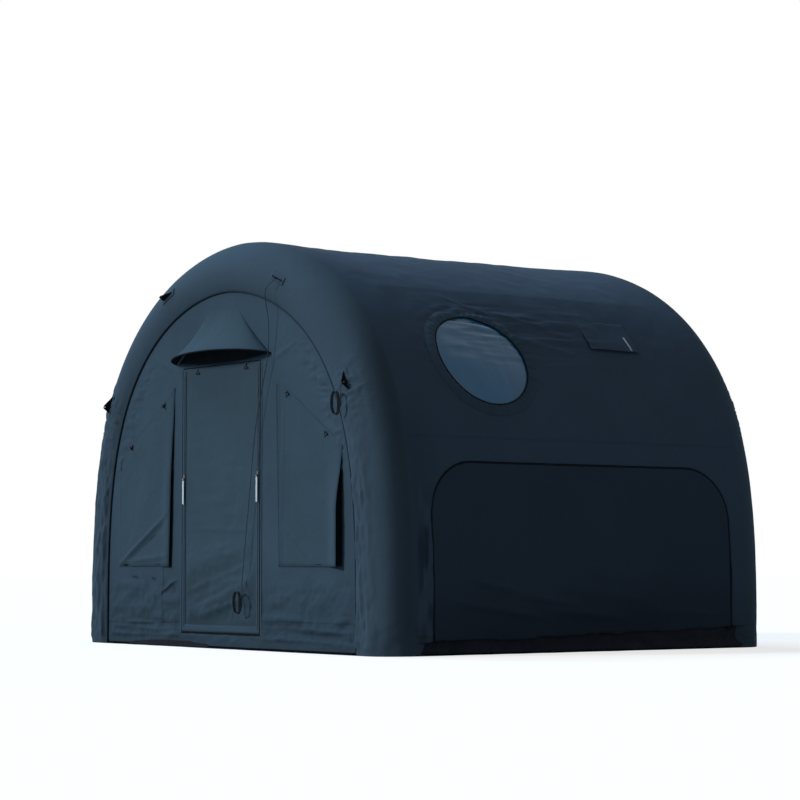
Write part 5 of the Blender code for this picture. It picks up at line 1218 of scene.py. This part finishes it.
def panelShade(u, v):  # darker towards the ground, with random tone
    soil = panelLook["soil"] * smoothStep(*panelLook["soilZ"], heightOf(u))
    return 1.0 - soil + rumple(u, v, panelLook["toneLumps"])


def panelCut(u, v):
    z = heightOf(u)
    return np.minimum(panelInside(panelLook["cut"])(v - tent["beamY"], z), z - hemHeight(v))


def panelTapeCut(u, v):
    y, z = v - tent["beamY"], heightOf(u)
    outer, inner = (panelInside(grow)(y, z) for grow in panelLook["tape"])
    return np.minimum(np.minimum(outer, -inner), z - panelLook["tapeFoot"])


def panelLine(grow):  # the panel's outline as (u, v)
    half, corner, top = roof["panelHalf"] + grow, roof["panelCorner"] + grow, roof["panelTop"] + grow
    low, step, turn = panelLook["lineFoot"], panelLook["lineStep"], np.linspace(0, math.pi / 2, 24)
    side, shoulder = half - corner, top - corner
    line = [(-half, z) for z in np.arange(low, shoulder, step)]
    line += [(-side - corner * math.cos(t), shoulder + corner * math.sin(t)) for t in turn]
    line += [(y, top) for y in np.arange(-side + step, side, step)]
    line += [(side + corner * math.sin(t), shoulder + corner * math.cos(t)) for t in turn]
    line += [(half, z) for z in np.arange(shoulder - step, low, -step)]
    line = np.array(line)
    return arcAtHeight(line[:, 1]), line[:, 0] + tent["beamY"]


def liftedLine(spots, place, lift, sign):
    out = tangentOut(spots, place)
    return (place(*spots) + out * lift) * (sign, 1, 1), out * (sign, 1, 1)


def rimAt(u, v):
    turn = np.arctan2(v - roof["roundV"], u - roof["roundArc"]) % (2 * math.pi)
    return rimPlace(turn * roof["roundRadius"], fromRound(u, v))


def hemLines(v, place, out, sign):  # two rows along the hem
    return [liftedLine((arcAtHeight(hemHeight(v) + up), v), place, out, sign) for up in stitchLook["hem"]]


for word, sign in bothSides:
    def sideSewn(label, us, vs, place, material, body, slot, node, held="stretched", **look):
        look.setdefault("flip", sign > 0)
        return sewn(word + label, us, vs, mirrored(place, sign), material, body, slot, word + node, held=held,
                    rests=[word + "Skin"], **look)
    hole, outer = roof["roundRadius"], roof["roundRadius"] + roof["rimWidth"]
    sideSewn("RoundRim", np.linspace(0, 2 * math.pi * hole, 361),
             np.linspace(hole - rim["start"], outer, 14), rimPlace, cloth["rim"], "tent", "rim_cloth",
             "_round_rim", "gathered", strip=roof["rimWidth"], closed=True, flip=sign < 0,
             thick=rim["thick"], shade=rimShade)
    around = np.linspace(0, 2 * math.pi, 160)
    line = mirrored(onSkin(out=rim["pipingUp"]), sign)(*roundSpot(around, hole + rim["start"]))
    fit(tube(word + "RoundPiping", line, rim["piping"], 8, cloth["dark"]), "tent", "rim_cloth")
    paneU, paneV = (np.arange(middle - pane["half"], middle + pane["half"], 0.010)
                    for middle in (roof["roundArc"], roof["roundV"]))
    sideSewn("RoundPane", paneU, paneV, panePlace, film, "tent", "window_film", "_round_pane",
             inside=paneInside, thick=pane["thick"])
    left, right = roof["ventV"] - roof["ventHalf"], roof["ventV"] + roof["ventHalf"]
    sideSewn("VentFlap", np.linspace(ventLow, roof["ventTop"], 28), np.linspace(left, right, 40), flapPlace,
             cloth["skin"], word + "_flap", "roof_cloth", "_vent_flap", "hung", thick=flap["thick"],
             shade=flapShade)
    sideSewn("VentStay", np.linspace(ventLow + flap["stayFrom"], ventLow + flap["stayTo"], 20),
             np.linspace(flap["stayV"] - flap["stayHalf"], flap["stayV"] + flap["stayHalf"], 5), stayPlace,
             stayStrip, word + "_flap", "stay_plastic", "_vent_stay", None, thick=flap["stayThick"])
    sideSewn("VentNet", np.linspace(ventLow + flap["netIn"], roof["ventTop"] - flap["netIn"], 16),
             np.linspace(left + flap["netIn"], right - flap["netIn"], 24), onSkin(out=-flap["netUnder"]),
             net, "tent", "mesh_net", "_vent_mesh", thick=0.0)
    sideSewn("SidePanel", np.arange(0.04, 1.0, 0.0125), np.arange(0.09, 2.06, 0.0125), panelPlace,
             cloth["panel"], word + "_panel", "panel_cloth", "_side_panel", inside=panelCut,
             thick=panelLook["thick"], shade=panelShade)
    sideSewn("SideZip", np.arange(0.04, 1.0, 0.0065), np.arange(0.06, 2.09, 0.0065),
             onSkin(panelLook["tapeShare"], -panelLook["tapeUnder"]), cloth["dark"], "tent", "zip_tape",
             "_side_zip", strip=panelLook["tapeWidth"], inside=panelTapeCut, thick=0.0)
    teeth = liftedLine(panelLine(panelLook["teeth"]), onSkin(panelLook["tapeShare"]),
                       -panelLook["teethUnder"], sign)
    seamRows(word + "SideZipTeeth", "tooth", [teeth], "tent", "zip_tape")
    out, ends, corner = stitchLook["out"], stitchLook["ends"], stitchLook["corner"]
    hemV = np.linspace(ends, back - ends, 180)
    rows = [liftedLine(panelLine(grow), skinPlace, out, sign) for grow in stitchLook["beside"]]
    rows.append(liftedLine(roundSpot(around, outer - rim["stitchIn"]), rimAt, out, sign))
    for corners in (np.linspace(*corner, 8), np.linspace(back - corner[1], back - corner[0], 8)):
        rows += hemLines(corners, skinPlace, out, sign)
    rows += [liftedLine((roof["low"] + up + 0 * hemV, hemV), skinPlace, out, sign)
             for up in stitchLook["seam"]]
    seamRows(word + "SkinStitches", "stitch", rows, "tent", "roof_cloth")
    rows = hemLines(hemV, panelPlace, stitchLook["hemOut"], sign)
    rows.append(liftedLine(panelLine(panelLook["stitches"]), panelPlace, out, sign))
    seamRows(word + "PanelStitches", "stitch", rows, word + "_panel", "panel_cloth")
print("side windows, vents and panels made")

# groundsheet: floor, and sides that stand up inside the hem
ground = {
    "halfX": 1.4470, "halfY": 1.2440, "corner": 0.1735, "sideHigh": 0.126, "endHigh": 0.070, "foot": 0.045,
    "under": 0.0150, "widest": 1.449, "floorZ": 0.0020, "floorLumps": ((0.0004, 1, 1, 0.1, 94),),
    "lowZ": 0.0024, "sidePoints": 200, "bend": 0.05, "step": 0.010, "stepRun": 0.01, "sideRun": (0.0, 0.03),
    "riseRun": (-0.02, 0.0), "sideLumps": ((0.0045, 1, 2.0, 0.07, 91),),
    "stepLumps": ((0.006, 1, 0, 0.11, 92),), "riseBase": 0.0015, "riseLumps": ((0.0015, 1, 0, 0.05, 93),),
    "thick": 0.0009, "endBack": 0.0075, "endLumps": ((0.0012, 1, 2, 0.06, 95),), "endWidth": 0.07,
    "skirtLeft": -0.94, "skirtRight": -0.14, "skirtLow": 0.006, "skirtHigh": 0.026, "skirtPower": 0.4,
    "skirtLumps": ((0.004, 1, 0, 0.09, 96),), "skirtOut": (0.002, 0.004),
    "skirtWaves": ((0.001, 1, 1, 0.05, 97),), "skirtFlat": (0.8, 0.05), "skirtArea": (0.0121, 0.04),
}


def floorInside(x, y):
    corner = ground["corner"]
    return roundCorner(np.abs(x) - (ground["halfX"] - corner), np.abs(y) - (ground["halfY"] - corner), corner)


def sidePlace(y, h):  # h up the side, below nought along the ground
    rise = np.maximum(h, 0.0)
    near, count = 1.0 - smoothStep(0.0, ground["bend"], rise), ground["sidePoints"]
    x = np.interp(rise, arch[5][:count], (arch[1] + arch[3] * tent["skinOut"])[:count]) - ground["under"]
    x += np.minimum(h, 0.0) + rumple(y, h, ground["sideLumps"]) * smoothStep(*ground["sideRun"], rise)
    step = near * smoothStep(-ground["stepRun"], ground["stepRun"], h)
    x += step * (ground["step"] + rumple(y, y, ground["stepLumps"]))
    wave = smoothStep(*ground["riseRun"], h) * (ground["riseBase"] + rumple(y, y, ground["riseLumps"]))
    return np.stack([np.minimum(x, ground["widest"]), y, ground["lowZ"] + rise + wave], -1)


def floorPlace(x, y):
    return np.stack([x, y, ground["floorZ"] + rumple(x, y, ground["floorLumps"])], -1)


def endPlace(front):
    def place(x, h):
        y = tent["wallY"] - ground["endBack"] + rumple(x, h, ground["endLumps"])
        return np.stack([x, front * y, ground["lowZ"] + h], -1)
    return place


def skirtPlace(x, t):
    share = np.clip((x - ground["skirtLeft"]) / (ground["skirtRight"] - ground["skirtLeft"]), 0, 1)
    high = ground["skirtLow"] + ground["skirtHigh"] * np.sin(math.pi * share) ** ground["skirtPower"]
    near, lean = ground["skirtOut"]
    y = -(tent["wallY"] + near + lean * (1 - t) + rumple(x, t, ground["skirtWaves"]))
    return np.stack([x, y, ground["lowZ"] + t * (high + rumple(x, x, ground["skirtLumps"]))], -1)


vinyl = (cloth["ground"], "tent", "groundsheet_vinyl")
sewn("groundFloor", np.arange(-1.46, 1.461, 0.02), np.arange(-1.26, 1.261, 0.02), floorPlace, *vinyl,
     "groundsheet", held="laid", inside=floorInside)
for word, sign in bothSides:
    sewn(word + "GroundSide", np.linspace(-1.12, 1.12, 280),
         np.linspace(-ground["foot"], ground["sideHigh"], 26), mirrored(sidePlace, sign), *vinyl,
         held="hung", rests=[word + "Skin"], flip=sign < 0, thick=ground["thick"])
for word, front in bothEnds:
    sewn(word + "GroundEnd", np.linspace(-1.15, 1.15, 150), np.linspace(0, ground["endHigh"], 8),
         endPlace(front), *vinyl, held="hung", rests=[word + "Wall"], strip=ground["endWidth"],
         flip=front > 0, thick=ground["thick"])
skirt = sewn("groundFrontEdge", np.linspace(ground["skirtLeft"], ground["skirtRight"], 120),
             np.linspace(0.0, 1.0, 9), skirtPlace, *vinyl, thick=ground["thick"])
print("groundsheet made")

# air beams under the cloth
airFilm = mouldedMaterial("airBeamFilm", (0.16, 0.17, 0.18), 0.4, grain=60.0)
beams = {"radius": 0.0575, "halfLength": 0.975, "bladder": 0.1665, "seat": 0.0615, "footGap": 0.012}


def airBeam(name, line, radius, sides, node):
    beam = fit(tube(name, line, radius, sides, airFilm), "tent", "air_film", node)


for name, node, u, sign in (("ridgeBeam", "ridge_beam", crownArc, 1),
                            ("rightEaveBeam", "right_eave_beam", roof["eave"], 1),
                            ("leftEaveBeam", "left_eave_beam", roof["eave"], -1)):
    x, z, nx, nz = [float(value) for value in archAt(u)]
    seat, ys = tent["beamRadius"] - beams["seat"], np.linspace(-beams["halfLength"], beams["halfLength"], 24)
    airBeam(name, [(sign * (x + nx * seat), y, z + nz * seat) for y in ys], beams["radius"], 40, node)
for word, front in bothEnds:
    arcs = np.linspace(beams["footGap"], skinLength - beams["footGap"], 200)
    airBeam(word + "Bladder", beamPoint(arcs, 0.0, 0.0, front), beams["bladder"], 28, word + "_beam_bladder")
print("air beams made")

# guy anchors: a sewn patch and a fin of webbing
anchor = {
    "halfPatch": 0.060, "halfWidth": 0.020, "halfFin": 0.055, "finHigh": 0.052, "tipShift": 0.020,
    "tipHalf": 0.008, "eyeHigh": 0.042, "eye": 0.0030, "angle": math.radians(75), "stretch": 1.12,
    "out": 0.0030, "rootIn": 0.001,
    "upper": ((0.5269, -1.2333, 1.8509), (0.919, 0.0, -0.394), (0.102, -0.966, 0.239)),
    "lower": ((1.1246, -1.2333, 1.3086), (0.466, 0.0, -0.885), (0.230, -0.966, 0.121)),
    "patchThick": 0.0018, "finThick": 0.0024, "patchFlat": (0.13, 0.04), "patchArea": (0.0, 0.0052),
    "finFlat": (0.11, 0.056), "finArea": (0.0019, 0.0061),
}


def anchorSkin(u, w):
    return beamPoint(u, w / tent["skinOut"], tent["skinOut"] + anchor["out"], -1)


def anchorPieces(name, level, flipX, flipY, node):
    middle, down, out = (np.array(row) for row in anchor[level])
    half = len(arch[0]) // 2
    table = beamPoint(arch[0], anchor["angle"], tent["skinOut"], -1)[:half]
    start = arch[0][int(np.argmin(np.linalg.norm(table - middle, axis=1)))]
    seat, flips = anchor["angle"] * tent["skinOut"], np.array([flipX, flipY, 1.0])

    def patchPlace(a, b):
        return anchorSkin(start - a * anchor["stretch"], seat + b) * flips

    def tipRun(a):
        return anchor["tipShift"] + a / anchor["halfFin"] * anchor["tipHalf"]

    def finPlace(a, t):
        share = (t / anchor["finHigh"])[:, None]
        root = anchorSkin(start - a * anchor["stretch"], seat + 0 * a) - out * anchor["rootIn"]
        tip = middle + down * tipRun(a)[:, None] + out * anchor["finHigh"]
        return (root * (1 - share) + tip * share) * flips

    def finInside(a, t):
        share = t / anchor["finHigh"]
        across = a * (1 - share) + tipRun(a) * share
        return np.hypot(across - anchor["tipShift"], t - anchor["eyeHigh"]) - anchor["eye"]
    patch = sewn(name + "Patch", np.linspace(-anchor["halfPatch"], anchor["halfPatch"], 22),
                 np.linspace(-anchor["halfWidth"], anchor["halfWidth"], 9), patchPlace, cloth["skin"], "tent",
                 "anchor_webbing", node, flip=flipX * flipY < 0, thick=anchor["patchThick"])
    fin = sewn(name + "Fin", np.linspace(-anchor["halfFin"], anchor["halfFin"], 40),
               np.linspace(0, anchor["finHigh"], 30), finPlace, cloth["web"], "tent", "anchor_webbing",
               inside=finInside, thick=anchor["finThick"])
    fin.modifiers["wall"].offset = 0.0


for end, front in bothEnds:
    for word, sign in bothSides:
        for level in ("upper", "lower"):
            anchorPieces(end + word.title() + level.title(), level, sign, -front,
                         "_".join((end, word, level, "anchor")))
print("anchors made")

# moulded and metal parts that keep the solids' shape
finishes = {
    "toggle": plastic,
    "beam_valve": mouldedMaterial("valvePlastic", (0.050, 0.054, 0.060), 0.4),
    "valve_cap": mouldedMaterial("capPlastic", (0.030, 0.032, 0.036), 0.35),
    "zip_slider": mouldedMaterial("sliderMetal", (0.10, 0.10, 0.11), 0.35, metal=0.8, grain=700.0),
    "zip_pull": mouldedMaterial("palePull", (0.46, 0.53, 0.58), 0.5, grain=900.0),
}
for name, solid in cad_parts.items():
    for word, finish in finishes.items():
        if word in name:
            solid.data.materials.clear()
            solid.data.materials.append(finish)

# elastic loops that hold the toggles
loopLook = {"radius": 0.0013, "ring": 0.0064, "tails": ((0.024, 0.0055), (0.014, 0.0040)), "apart": 0.002,
            "from": math.radians(60), "to": math.radians(-240)}
inward = np.array([0.0, 1.0, 0.0])
for name, solid in list(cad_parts.items()):
    if "toggle" not in name:
        continue
    spots = np.array([v.co for v in solid.data.vertices])
    centre = spots.mean(axis=0)
    along = np.linalg.svd(spots - centre)[2][0]
    up = np.array([-along[2], 0.0, along[0]])
    up = up if (up[2] > 0) == name.startswith("door") else -up
    ring = [centre + loopLook["ring"] * (math.sin(t) * up - math.cos(t) * inward)
            for t in np.linspace(loopLook["from"], loopLook["to"], 22)]
    tails = [centre + up * rise + inward * deep for rise, deep in loopLook["tails"]]
    ends = [tail + along * loopLook["apart"] for tail in tails[::-1]]
    loop = tube(name.replace("_", "") + "Loop", tails + ring + ends, loopLook["radius"], 8, cloth["web"])
    fit(loop, "door" if name.startswith("door") else name.split("_")[0] + "_cover", "guy_rope")
print("fittings finished")

# stage and light
floorLook = {"colour": 0.36, "glow": 0.72, "half": 60.0}
half = floorLook["half"]
floor = newObject("floor", bpy.data.meshes.new("floor"), [])
floor.data.from_pydata([(-half, -half, 0), (half, -half, 0), (half, half, 0), (-half, half, 0)], [],
                       [(0, 1, 2, 3)])


def brightPaths(tree):  # camera, glossy and transmission rays see the pale studio
    paths = nodeOf(tree, "LightPath").outputs
    seen = mathOf(tree, "MAXIMUM", paths["Is Camera Ray"], paths["Is Glossy Ray"])
    return mathOf(tree, "MAXIMUM", seen, paths["Is Transmission Ray"])


pale, tree, shader = newMaterial("floorPale", rough=0.9, specular=0.0)
shader.inputs["Base Color"].default_value = (floorLook["colour"],) * 3 + (1.0,)
shader.inputs["Emission Color"].default_value = (1, 1, 1, 1)
tree.links.new(mathOf(tree, "MULTIPLY", brightPaths(tree), floorLook["glow"]),
               shader.inputs["Emission Strength"])
floor.data.materials.append(pale)

light = {
    "fill": 0.24,
    "key": {"energy": 2.2, "from": (-0.36, -0.90, 0.42), "colour": (1.0, 0.99, 0.97), "spread": 10.0},
    "sky": {"energy": 1.7, "from": (-0.62, -0.12, 0.74), "colour": (0.50, 0.92, 1.28), "spread": 30.0},
}
world = bpy.data.worlds.new("studio")
shop.world = world
world.use_nodes = True
tree = world.node_tree
tree.nodes.clear()
amount = spread(tree, brightPaths(tree), light["fill"], 1.0)
backdrop = nodeOf(tree, "Background", {"Color": (1, 1, 1, 1), "Strength": amount})
tree.links.new(backdrop.outputs[0], nodeOf(tree, "OutputWorld").inputs[0])
for name in ("key", "sky"):
    lamp = bpy.data.objects.new(name, bpy.data.lights.new(name, "SUN"))
    shop.collection.objects.link(lamp)
    lamp.data.energy, lamp.data.color = light[name]["energy"], light[name]["colour"]
    lamp.data.angle = math.radians(light[name]["spread"])
    lamp.rotation_euler = Vector(light[name]["from"]).to_track_quat("Z", "Y").to_euler()
print("stage and light set")
